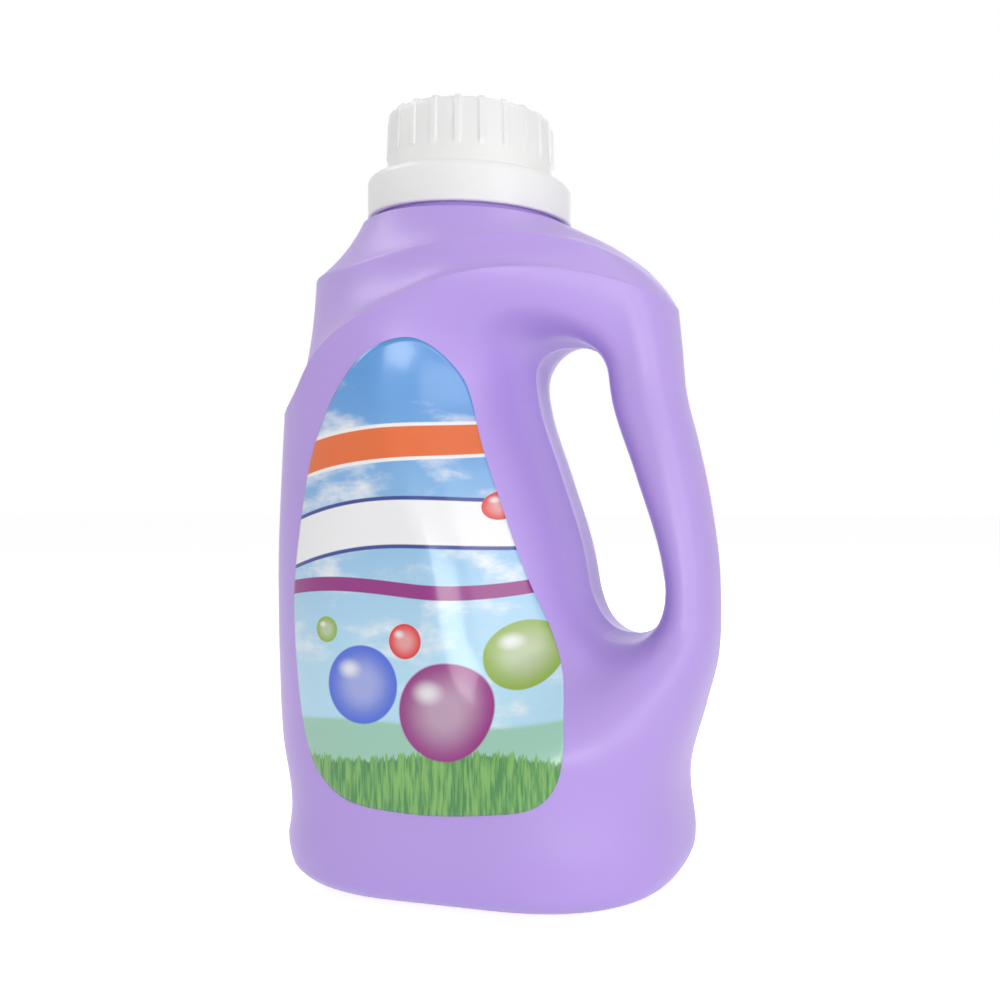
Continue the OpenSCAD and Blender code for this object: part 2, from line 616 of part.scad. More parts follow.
module front_label() {
    pts = concat(label_skin(label_gap + label_t), label_skin(label_gap));
    color([0.55, 0.78, 0.93])
        polyhedron(pts, concat(
            [for (i = [0 : label_n - 1]) [label_row(0, 1)[i + 1], label_row(0, 1)[i], 0]],
            [for (i = [0 : label_n - 1]) [label_row(1, 1)[i], label_row(1, 1)[i + 1], label_skin_n]],
            rows_faces(pts, [for (k = [1 : label_ring_n]) label_row(0, k)], true),
            rows_faces(pts, [for (k = [1 : label_ring_n]) label_row(1, k)], false),
            strip(pts, label_row(1, label_ring_n), label_row(0, label_ring_n), false)
        ));
}

bottle();
pour_spout();
cap();
front_label();
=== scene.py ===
"""Looks of a laundry detergent bottle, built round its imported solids.

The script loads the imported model, builds the finished body, pour spout, cap and label over their
solids, gives each its material, and sets the studio and the camera. Forms are worked out in
millimetres in the frame of the solids: X towards the handle, -Y towards the label, Z up.
"""

from __future__ import annotations

import logging
import math
from dataclasses import dataclass, field
from enum import Enum
from typing import NamedTuple, Sequence

import bpy
import numpy as np
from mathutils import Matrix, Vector

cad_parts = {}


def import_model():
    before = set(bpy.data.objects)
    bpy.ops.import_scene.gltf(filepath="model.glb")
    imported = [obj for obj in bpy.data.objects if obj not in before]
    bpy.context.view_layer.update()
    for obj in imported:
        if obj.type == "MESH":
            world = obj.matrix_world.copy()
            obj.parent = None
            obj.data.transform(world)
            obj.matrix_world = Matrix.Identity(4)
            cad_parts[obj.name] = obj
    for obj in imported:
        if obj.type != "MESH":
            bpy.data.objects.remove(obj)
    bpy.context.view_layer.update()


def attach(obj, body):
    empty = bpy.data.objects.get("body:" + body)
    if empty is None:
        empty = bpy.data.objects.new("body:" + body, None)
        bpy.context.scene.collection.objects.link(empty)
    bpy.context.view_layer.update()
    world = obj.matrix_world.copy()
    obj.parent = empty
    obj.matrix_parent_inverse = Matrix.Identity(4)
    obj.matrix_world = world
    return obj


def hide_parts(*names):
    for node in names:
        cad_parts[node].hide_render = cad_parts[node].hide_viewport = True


LOG = logging.getLogger("bottle")
MM = 0.001
MIRROR = np.array([1, -1, 1])
THREAD_HALF = 1.1
THREAD_FLANK = 0.7
THREAD_END = 1.5

Colour = tuple[float, float, float]
Grid = np.ndarray


class BodyName(Enum):
    """The bodies of the model that a piece can ride on."""

    BODY = "body"
    CAP = "cap"


class Node(Enum):
    """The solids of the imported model."""

    BOTTLE = "bottle"
    SPOUT = "pour_spout"
    CAP = "cap"
    LABEL = "front_label"


class Slot(Enum):
    """Names of the material slots."""

    BOTTLE = "bottle_plastic"
    CLOSURE = "closure_plastic"
    CAP = "cap_plastic"
    LABEL = "label_film"


def mix(a: float | Grid, b: float | Grid, t: float | Grid) -> float | Grid:
    """Value between a and b at the share t."""
    return a + (b - a) * t


def ramp(t: Grid | float) -> Grid:
    """Smooth step from 0 to 1 as t goes from 0 to 1."""
    c = np.clip(t, 0.0, 1.0)
    return c * c * (3.0 - 2.0 * c)


def even(count: int) -> Grid:
    """Even shares from 0 up to 1, without the 1."""
    return np.arange(count) / count


def spread(count: int) -> Grid:
    """Shares from 0 to 1, closer together at both ends."""
    return (1.0 - np.cos(np.pi * np.arange(count + 1) / count)) / 2.0


class SmoothCurve:
    """A smooth curve through points of rising abscissa, with three-point tangents."""

    def __init__(self, points: Sequence[Sequence[float]]) -> None:
        """Keep the points and work out their tangents.

        Args:
            points: Pairs of abscissa and value.
        """
        data = np.array(points, float)
        self.at = data[:, 0]
        self.value = data[:, 1]
        gap = np.diff(self.at)
        slope = np.diff(self.value) / gap
        inner = (slope[1:] * gap[:-1] + slope[:-1] * gap[1:]) / (gap[1:] + gap[:-1])
        self.gap = gap
        self.tangent = np.concatenate([slope[:1], inner, slope[-1:]])

    def __call__(self, where: Grid | float) -> Grid:
        """Value at a place, held at the ends.

        Args:
            where: Abscissa or array of them.

        Returns:
            The values there.
        """
        where = np.asarray(where, float)
        i = np.clip(np.searchsorted(self.at, where, side="right") - 1, 0, len(self.gap) - 1)
        t = np.clip((where - self.at[i]) / self.gap[i], 0.0, 1.0)
        h = self.gap[i]
        return (
            (2 * t**3 - 3 * t**2 + 1) * self.value[i]
            + (t**3 - 2 * t**2 + t) * h * self.tangent[i]
            + (3 * t**2 - 2 * t**3) * self.value[i + 1]
            + (t**3 - t**2) * h * self.tangent[i + 1]
        )


def new_object(name: str, data: bpy.types.ID) -> bpy.types.Object:
    """Make an object and put it in the scene.

    Args:
        name: Name of the object.
        data: Its mesh, lamp or camera.

    Returns:
        The new object.
    """
    made = bpy.data.objects.new(name, data)
    bpy.context.scene.collection.objects.link(made)
    return made


class MeshBuilder:
    """Collects grids of points and turns them into one smooth mesh object."""

    def __init__(self, name: str) -> None:
        """Start an empty mesh.

        Args:
            name: Name of the object to be.
        """
        self.name = name
        self.points: list[Grid] = []
        self.faces: list[tuple[int, ...]] = []
        self.count = 0

    def grid(self, points: Grid, wrap: bool = False, flip: bool = False) -> None:
        """Add a grid of points as quads.

        Args:
            points: Array of rows by columns by three coordinates, in millimetres.
            wrap: Whether the last column joins the first.
            flip: Whether the faces are turned over.
        """
        rows, columns = points.shape[:2]
        self.points.append(points.reshape(-1, 3))
        index = np.arange(rows * columns).reshape(rows, columns) + self.count
        if wrap:
            index = np.concatenate([index, index[:, :1]], axis=1)
        a, b = index[:-1, :-1].ravel(), index[:-1, 1:].ravel()
        c, d = index[1:, 1:].ravel(), index[1:, :-1].ravel()
        quads = np.stack([d, c, b, a] if flip else [a, b, c, d], axis=1)
        self.faces.extend(map(tuple, quads.tolist()))
        self.count += rows * columns

    def build(self, merge: float = 1e-4) -> bpy.types.Object:
        """Weld the grids and make the object.

        Args:
            merge: Distance in millimetres under which points become one.

        Returns:
            The new object, shaded smooth.
        """
        points = np.concatenate(self.points)
        keys = np.round(points / merge).astype(np.int64)
        _, first, place = np.unique(keys, axis=0, return_index=True, return_inverse=True)
        place = place.ravel()
        faces = []
        for face in self.faces:
            ids = [int(place[i]) for i in face]
            kept = [v for n, v in enumerate(ids) if v != ids[n - 1]]
            if len(kept) >= 3 and len(set(kept)) == len(kept):
                faces.append(kept)
        mesh = bpy.data.meshes.new(self.name)
        mesh.from_pydata((points[first] * MM).tolist(), [], faces)
        mesh.validate()
        mesh.shade_smooth()
        return new_object(self.name, mesh)


@dataclass(frozen=True)
class BottleSizes:
    """Sizes of the blown body, in millimetres."""

    width: float = 148.0
    depth: float = 97.0
    handle_depth: float = 32.0
    neck_offset: float = 12.3
    foot_r: float = 15.0
    foot_front: float = 20.0
    ring_w: float = 7.0
    push_up: float = 3.0
    left_foot_in: float = 3.5
    left_waist_z: float = 26.0
    left_waist_in: float = 5.0
    left_full_z: float = 105.0
    right_foot_in: float = 9.5
    waist_z: float = 36.0
    right_waist_in: float = 11.5
    right_full_z: float = 98.0
    handle_bend_z: float = 145.0
    handle_bend_in: float = 7.5
    handle_top_in: float = 13.0
    left_round: float = 50.0
    right_round: float = 52.0
    handle_round: float = 12.0
    hole_round: float = 10.0
    hole_wall: float = 7.0
    hole_draft: float = 1.2
    flank_w: float = 36.0
    squareness: float = 2.4
    hole_top_z: float = 176.0
    hole_low_z: float = 82.0
    hole_w: float = 27.5
    hole_top_round: float = 11.0
    hole_low_round: float = 20.0
    hole_top_x: float = 24.2
    hole_mid_x: float = 31.0
    hole_low_x: float = 46.3
    step2_left_z: float = 152.0
    step2_top_z: float = 196.0
    step2_right_z: float = 188.5
    step1_left_z: float = 199.0
    step1_top_z: float = 207.0
    step1_right_z: float = 200.5
    step1_left_in: float = 7.5
    step1_right_in: float = 24.0
    step1_w: float = 3.5
    left_top_in: float = 2.2
    right_top_in: float = 14.6
    shoulder_start: float = 14.0
    shoulder_flat: float = 7.0
    shoulder_end: float = 40.0
    ledge_w: float = 6.3
    ledge_drop: float = 0.8
    ledge_in: float = 1.8
    gap_drop: float = 1.1
    neck_z: float = 218.0
    neck_h: float = 11.9
    neck_r: float = 31.2
    neck_wall: float = 2.6
    bead_out: float = 0.8

    @property
    def ledge_r(self) -> float:
        """Radius of the solid's ledge round the neck's foot."""
        return self.neck_r + self.ledge_w

    @property
    def rim_r(self) -> float:
        """Radius of the ledge here, a little further in."""
        return self.ledge_r - self.ledge_in

    @property
    def rim_z(self) -> float:
        """Height of the ledge here, a little lower than the solid's."""
        return self.neck_z - self.ledge_drop - self.gap_drop

    @property
    def bore_r(self) -> float:
        """Radius of the opening in the neck."""
        return self.neck_r - self.neck_wall


class BottleForm:
    """Outlines and depths of the body, as those of its solid but finer."""

    CHUNK = 8000
    TURN_SHARE = 0.62
    RIM_POWER = 0.85
    HEEL_TURN = 75
    WALL_FADE = 0.3
    STEP1_TAPER = 0.72
    LOW_HOLLOW = 0.75
    HIGH_HOLLOW = 0.5
    BULGE = 0.2

    def __init__(self, sizes: BottleSizes, fine: int = 5, rings: int = 60) -> None:
        """Work out the outlines.

        Args:
            sizes: Sizes of the body.
            fine: How many times finer the columns are than those of the solid.
            rings: Number of steps from the finger hole to the panel's edge.
        """
        self.s = sizes
        s = sizes
        self.rings = rings
        self.half_w = s.width / 2
        self.neck_x = -s.neck_offset
        self.left = SmoothCurve([
            (s.foot_r, s.left_foot_in),
            (s.left_waist_z, s.left_waist_in),
            (mix(s.left_waist_z, s.left_full_z, 0.3), s.left_waist_in / 3),
            (mix(s.left_waist_z, s.left_full_z, 0.6), s.left_waist_in / 12),
            (s.left_full_z, 0.0),
            (mix(s.left_full_z, s.step2_left_z, 0.72), 0.64 * s.left_top_in),
            (s.step2_left_z, s.left_top_in),
        ])
        self.right = SmoothCurve([
            (s.foot_r, s.right_foot_in),
            (s.waist_z, s.right_waist_in),
            (mix(s.waist_z, s.right_full_z, 0.36), s.right_waist_in / 2.1),
            (mix(s.waist_z, s.right_full_z, 0.6), s.right_waist_in / 10),
            (s.right_full_z, 0.0),
            (mix(s.right_full_z, s.handle_bend_z, 0.6), s.handle_bend_in / 2.2),
            (s.handle_bend_z, s.handle_bend_in),
            (
                mix(s.handle_bend_z, s.step2_right_z, 0.33),
                mix(s.handle_bend_in, s.handle_top_in, 0.67),
            ),
            (mix(s.handle_bend_z, s.step2_right_z, 0.7), s.handle_top_in),
            (s.step2_right_z, s.right_top_in),
        ])
        self.hole_line = SmoothCurve([
            (s.hole_low_z, s.hole_low_x),
            (mix(s.hole_low_z, s.hole_top_z, 0.3), mix(s.hole_low_x, s.hole_mid_x, 0.3)),
            (mix(s.hole_low_z, s.hole_top_z, 0.55), mix(s.hole_low_x, s.hole_mid_x, 0.8)),
            (mix(s.hole_low_z, s.hole_top_z, 0.8), mix(s.hole_mid_x, s.hole_top_x, 0.7)),
            (s.hole_top_z, s.hole_top_x),
        ])
        self.top_n = 22 * fine
        self.handle_n = 12 * fine
        self.heel_n = 6 * fine
        self.base_n = 18 * fine
        self.side_n = 14 * fine
        self.top_side_n = 7 * fine
        self.rim = self._hole_rim()
        self._set_steps()

    def left_x(self, z: Grid | float) -> Grid:
        """Outline of the side without the handle at a height."""
        return -self.half_w + self.left(z)

    def right_x(self, z: Grid | float) -> Grid:
        """Outline of the handle side at a height."""
        return self.half_w - self.right(z)

    def _hole_rim(self) -> Grid:
        """Rim of the finger hole, clockwise from its left side.

        Returns:
            Points of the parting plane, x and z.
        """
        s = self.s
        z1 = s.hole_top_z - s.hole_top_round
        z0 = s.hole_low_z + s.hole_low_round
        turn_z = mix(z0, z1, self.TURN_SHARE)
        top_round_n = self.top_n - self.top_side_n
        heel = self.HEEL_TURN

        def side(z: Grid, way: int) -> Grid:
            """Points of one side, -1 away from the handle and 1 along it."""
            return np.stack([self.hole_line(z) + way * s.hole_w / 2, z], axis=1)

        def squarer(v: Grid) -> Grid:
            """Sines or cosines that turn more sharply than a circle's."""
            return np.sign(v) * np.abs(v) ** self.RIM_POWER

        def end(middle: float, radius: float, degrees: Grid) -> Grid:
            """Points of one rounded end.

            Args:
                middle: Height of the rounding's centre.
                radius: Half height of the rounding.
                degrees: Angles, from the handle's side.

            Returns:
                Points of the parting plane, x and z.
            """
            a = np.radians(degrees)
            z = middle + radius * squarer(np.sin(a))
            return np.stack([self.hole_line(z) + s.hole_w / 2 * squarer(np.cos(a)), z], axis=1)

        return np.concatenate([
            side(mix(turn_z, z1, even(self.top_side_n)), -1),
            end(z1, s.hole_top_round, 180 - 180 * even(top_round_n)),
            side(mix(z1, z0, even(self.handle_n)), 1),
            end(z0, s.hole_low_round, -heel * even(self.heel_n)),
            end(z0, s.hole_low_round, -heel - (180 - heel) * even(self.base_n)),
            side(mix(z0, turn_z, even(self.side_n)), -1),
        ])

    def _set_steps(self) -> None:
        """Work out the two stepped lines of the shoulder."""
        s = self.s
        low = (float(self.left_x(s.step2_left_z)), float(self.right_x(s.step2_right_z)))
        rise = [
            (0, 0), (0.07, 0.03), (0.14, 0.16), (0.2, 0.37),
            (0.28, 0.56), (0.38, 0.71), (0.54, 0.89), (0.76, 1),
        ]
        fall = [(0.87, 0.8), (0.94, 0.45), (1, 0)]
        points = [
            (mix(low[0], low[1], x), mix(end, s.step2_top_z, z))
            for end, line in ((s.step2_left_z, rise), (s.step2_right_z, fall))
            for x, z in line
        ]
        self.step2_ends = low
        self.step2 = SmoothCurve(points)
        high = (s.step1_left_in - self.half_w, self.half_w - s.step1_right_in)
        self.step1_ends = high
        self.step1 = SmoothCurve([
            (high[0], s.step1_left_z),
            (mix(high[0], high[1], 0.22), s.step1_left_z),
            (mix(high[0], high[1], 0.5), mix(s.step1_left_z, s.step1_top_z, 0.5)),
            (mix(high[0], high[1], 0.8), s.step1_top_z),
            (mix(high[0], high[1], 0.92), mix(s.step1_right_z, s.step1_top_z, 0.6)),
            (high[1], s.step1_right_z),
        ])

    def hole_distance(self, p: Grid) -> Grid:
        """Distance of points of the parting plane from the hole's rim.

        Args:
            p: Array of points, x and z.

        Returns:
            One distance for each point.
        """
        a = self.rim
        d = np.roll(a, -1, axis=0) - a
        span = (d**2).sum(1)
        best = np.full(len(p), np.inf)
        for start in range(0, len(p), self.CHUNK):
            part = p[start:start + self.CHUNK]
            away = part[:, None, :] - a[None]
            t = np.clip((away * d).sum(2) / span, 0, 1)
            gap = away - t[..., None] * d
            best[start:start + self.CHUNK] = np.sqrt((gap**2).sum(2).min(1))
        return best

    def rounding(self, distance: Grid, radius: Grid | float) -> Grid:
        """Share of the full depth at a distance from an edge."""
        t = np.clip(distance / radius, 0, 1)
        return (1 - (1 - t) ** self.s.squareness) ** (1 / self.s.squareness)

    def shoulder_fall(self, x: Grid, end: float) -> Grid:
        """Share of the shoulder's narrowing towards the handle."""
        start = self.neck_x + self.s.shoulder_flat
        return ramp((x - start) / (end - start))

    def hole_rise(self, x: Grid, z: Grid, full: Grid, out: float) -> Grid:
        """Rise over the hole's edge: a rolled edge, over a straight wall away from the handle.

        Args:
            x: Places across the width.
            z: Heights.
            full: Half depths without the hole.
            out: How far the skin is moved out.

        Returns:
            Shares of the full depth.
        """
        s = self.s
        distance = self.hole_distance(np.stack([x, z], axis=1)) + out
        side = (x - self.hole_line(z)) / (s.hole_w / 2)
        straight = 1 - ramp((side - self.WALL_FADE) / (1 - self.WALL_FADE))
        share = straight * s.hole_wall / full
        start = straight * s.hole_draft
        wall = np.clip(distance / s.hole_draft, 0, 1)
        rolled = self.rounding(distance - start, s.hole_round - start + out)
        return share * wall + (1 - share) * rolled

    def half_depth(self, p: Grid, out: float = 0.0) -> Grid:
        """Half depth of the body at points of the parting plane.

        Args:
            p: Array of points, x and z.
            out: How far the skin is moved out.

        Returns:
            The half depths.
        """
        s = self.s
        flat = p.reshape(-1, 2)
        x, z = flat[:, 0], flat[:, 1]
        share = ramp((z - s.hole_low_z + s.flank_w) / (s.flank_w + s.hole_low_round / 3))
        flank = ramp((self.hole_line(z) - x) / (s.hole_w / 2 + s.flank_w))
        low = mix(s.depth / 2, mix(s.handle_depth / 2, s.depth / 2, flank), share)
        shoulder_h = s.step2_top_z - s.hole_top_z + s.shoulder_start
        shoulder = ramp((z - s.hole_top_z + s.shoulder_start) / shoulder_h)
        fall = mix(s.depth / 2, s.shoulder_end / 2, self.shoulder_fall(x, self.step2_ends[1]))
        full = mix(low, fall, shoulder)
        right_r = mix(s.right_round, s.handle_round, share)
        left = self.rounding(x - self.left_x(z) + out, s.left_round + out)
        right = self.rounding(self.right_x(z) + out - x, right_r + out)
        hole = self.hole_rise(x, z, full, out)
        return ((full + out) * left * right * hole).reshape(p.shape[:-1])

    def edge(self) -> Grid:
        """Edge of the main panel, clockwise from the lower step's left end.

        Returns:
            Points of the parting plane, x and z.
        """
        s = self.s
        heel_z = s.hole_low_z + 0.4 * s.hole_low_round
        x = mix(self.step2_ends[0], self.step2_ends[1], spread(self.top_n))
        top = np.stack([x, self.step2(x)], axis=1)
        z = mix(s.step2_right_z, heel_z, even(self.handle_n)[1:])
        handle = np.stack([self.right_x(z), z], axis=1)
        z = mix(heel_z, s.foot_r, even(self.heel_n))
        heel = np.stack([self.right_x(z), z], axis=1)
        x = mix(self.right_x(s.foot_r), self.left_x(s.foot_r), spread(self.base_n)[:-1])
        base = np.stack([x, np.full_like(x, s.foot_r)], axis=1)
        z = mix(s.foot_r, s.step2_left_z, even(self.side_n))
        side = np.stack([self.left_x(z), z], axis=1)
        return np.concatenate([top, handle, heel, base, side])

    def panel(self) -> Grid:
        """Front of the main panel.

        Returns:
            Rays from the hole by rings by three coordinates.
        """
        a = self.rim
        b = self.edge()
        k = spread(self.rings)[None, :, None]
        p = a[:, None, :] + (b - a)[:, None, :] * k
        y = -self.half_depth(p)
        y[:, 0] = 0
        i = np.arange(len(a))
        base = self.top_n + self.handle_n + self.heel_n
        closed = (i == 0) | ((i >= self.top_n) & (i <= base)) | (i >= base + self.base_n)
        y[closed, -1] = 0
        return np.stack([p[..., 0], y, p[..., 1]], axis=2)

    def step1_row(self) -> Grid:
        """Front row of points on the upper step.

        Returns:
            Columns by three coordinates.
        """
        s = self.s
        share = spread(self.top_n)
        x = mix(self.step1_ends[0], self.step1_ends[1], share)
        taper = mix(1.0, self.STEP1_TAPER, self.shoulder_fall(x, self.step1_ends[1]))
        swing = np.abs(np.sin(np.pi * np.arange(self.top_n + 1) / self.top_n))
        y = -(s.ledge_r + s.step1_w) * swing * taper
        y[0] = y[-1] = 0
        return np.stack([x, y, self.step1(x)], axis=1)

    def ring_row(self, radius: float, z: float) -> Grid:
        """Front row of points on a ring round the neck's axis.

        Args:
            radius: Radius of the ring.
            z: Height of the ring.

        Returns:
            Columns by three coordinates.
        """
        a = np.pi * np.arange(self.top_n + 1) / self.top_n
        y = -radius * np.sin(a)
        y[0] = y[-1] = 0
        return np.stack([self.neck_x - radius * np.cos(a), y, np.full_like(a, z)], axis=1)

    @staticmethod
    def cove(a: Grid, b: Grid, v: float, hollow: Grid) -> Grid:
        """Row of a cove between two rows.

        Args:
            a: The row above.
            b: The row below.
            v: Share of the way from a to b.
            hollow: Hollowness of each column, negative for a bulge.

        Returns:
            Columns by three coordinates.
        """
        out = mix(v, 1 - math.cos(math.pi / 2 * v), hollow)
        down = mix(v, math.sin(math.pi / 2 * v), hollow)
        return np.stack([mix(a[:, n], b[:, n], t) for n, t in enumerate((out, out, down))], axis=1)

    def shoulder(self, panel: Grid, steps: int = 18) -> tuple[list[Grid], list[int]]:
        """Front rows from the panel's rings up over both steps to the neck's ledge.

        Args:
            panel: The front panel.
            steps: Rows in each cove.

        Returns:
            The rows, and the places of the two stepped edges in them.
        """
        s = self.s
        rows = [panel[:self.top_n + 1, k] for k in range(self.rings // 2, self.rings + 1)]
        edges = [len(rows) - 1]
        low = rows[-1]
        high = self.step1_row()
        ledge = self.ring_row(s.rim_r, s.rim_z)
        shares = spread(steps)[::-1]
        along = np.arange(self.top_n + 1) / self.top_n
        low_hollow = mix(self.LOW_HOLLOW, -self.BULGE, ramp((along - 0.6) / 0.35))
        rows += [self.cove(high, low, float(v), low_hollow) for v in shares[1:]]
        edges.append(len(rows) - 1)
        high_hollow = self.HIGH_HOLLOW * np.sin(np.pi * along)
        high_hollow = high_hollow - self.BULGE * ramp((along - 0.8) / 0.2)
        rows += [self.cove(ledge, high, float(v), high_hollow) for v in shares[1:]]
        return rows, edges


def round_edge(rows: Grid, edge: int, radius: Grid) -> Grid:
    """Round the crease along one row of a grid, column by column.

    Args:
        rows: Rows by columns by three coordinates.
        edge: Place of the creased row.
        radius: Distance from the crease at which the rounding starts, for each column.

    Returns:
        The grid with the crease rounded.
    """
    made = rows.copy()
    steps = np.linalg.norm(np.diff(rows, axis=0), axis=2)
    length = np.concatenate([np.zeros((1, rows.shape[1])), np.cumsum(steps, axis=0)])
    for column in range(rows.shape[1]):
        s = length[:, column] - length[edge, column]
        line = rows[:, column]
        reach = min(radius[column], -s[0], s[-1])
        if reach <= 0:
            continue
        before = np.array([np.interp(-reach, s, line[:, c]) for c in range(3)])
        after = np.array([np.interp(reach, s, line[:, c]) for c in range(3)])
        near = np.abs(s) < reach
        t = ((s[near] + reach) / (2 * reach))[:, None]
        made[near, column] = (1 - t) ** 2 * before + 2 * t * (1 - t) * line[edge] + t**2 * after
    return made


class NodeTree:
    """Short calls for adding nodes to a material or a group."""

    def __init__(self, tree: bpy.types.NodeTree) -> None:
        """Wrap a tree of nodes."""
        self.tree = tree

    def add(
        self, kind: str, inputs: dict[str | int, object] | None = None, **settings: object
    ) -> bpy.types.Node:
        """Add a node.

        Args:
            kind: Blender's name of the node type.
            inputs: Values or sockets for its inputs, by name or number.
            settings: Properties of the node.

        Returns:
            The node.
        """
        node = self.tree.nodes.new(kind)
        for key, value in settings.items():
            setattr(node, key, value)
        for key, value in (inputs or {}).items():
            self.feed(node.inputs[key], value)
        return node

    def feed(self, socket: bpy.types.NodeSocket, value: object) -> None:
        """Link a socket, or set its value.

        Args:
            socket: An input.
            value: An output to link it to, or its new value.
        """
        if isinstance(value, bpy.types.NodeSocket):
            self.tree.links.new(value, socket)
        elif isinstance(value, tuple) and len(value) == 3 and socket.type == "RGBA":
            socket.default_value = (*value, 1.0)
        else:
            socket.default_value = value

    def math(self, operation: str, *values: object) -> bpy.types.NodeSocket:
        """Output of a Math node on one to three values."""
        inputs = dict(enumerate(values))
        return self.add("ShaderNodeMath", inputs, operation=operation).outputs[0]

    def rest(self, value: object) -> bpy.types.NodeSocket:
        """One less a value."""
        return self.math("SUBTRACT", 1.0, value)

    def step(self, value: object, low: object, high: object) -> bpy.types.NodeSocket:
        """Smooth step from 0 to 1 as a value goes from low to high."""
        inputs = {0: value, 1: low, 2: high}
        return self.add("ShaderNodeMapRange", inputs, interpolation_type="SMOOTHSTEP").outputs[0]

    def stretch(self, place: object, scale: tuple[float, float, float]) -> bpy.types.NodeSocket:
        """Coordinates scaled along each axis."""
        return self.add("ShaderNodeMapping", {"Vector": place, "Scale": scale}).outputs[0]

    def noise(
        self, place: object, scale: object, detail: float, rough: float = 0.5
    ) -> bpy.types.NodeSocket:
        """Value of a Noise texture at a place."""
        inputs = {"Vector": place, "Scale": scale, "Detail": detail, "Roughness": rough}
        return self.add("ShaderNodeTexNoise", inputs).outputs[0]

    def blend(self, share: object, a: object, b: object) -> bpy.types.NodeSocket:
        """Colour between a and b at a share."""
        inputs = {"Factor": share, 6: a, 7: b}
        return self.add("ShaderNodeMix", inputs, data_type="RGBA", blend_type="MIX").outputs[2]

    def group(self, name: str, inputs: dict[str, object]) -> bpy.types.Node:
        """Place a node group and feed its inputs."""
        return self.add("ShaderNodeGroup", inputs, node_tree=bpy.data.node_groups[name])


def new_material(name: str) -> tuple[bpy.types.Material, NodeTree, bpy.types.Node]:
    """Make a material with a Principled shader.

    Args:
        name: Name of the material.

    Returns:
        The material, its wrapped tree and its shader.
    """
    material = bpy.data.materials.new(name)
    material.use_nodes = True
    tree = material.node_tree
    return material, NodeTree(tree), tree.nodes["Principled BSDF"]


def set_values(shader: bpy.types.Node, values: dict[str, object]) -> None:
    """Set constant values on a shader's own sockets."""
    for key, value in values.items():
        shader.inputs[key].default_value = value


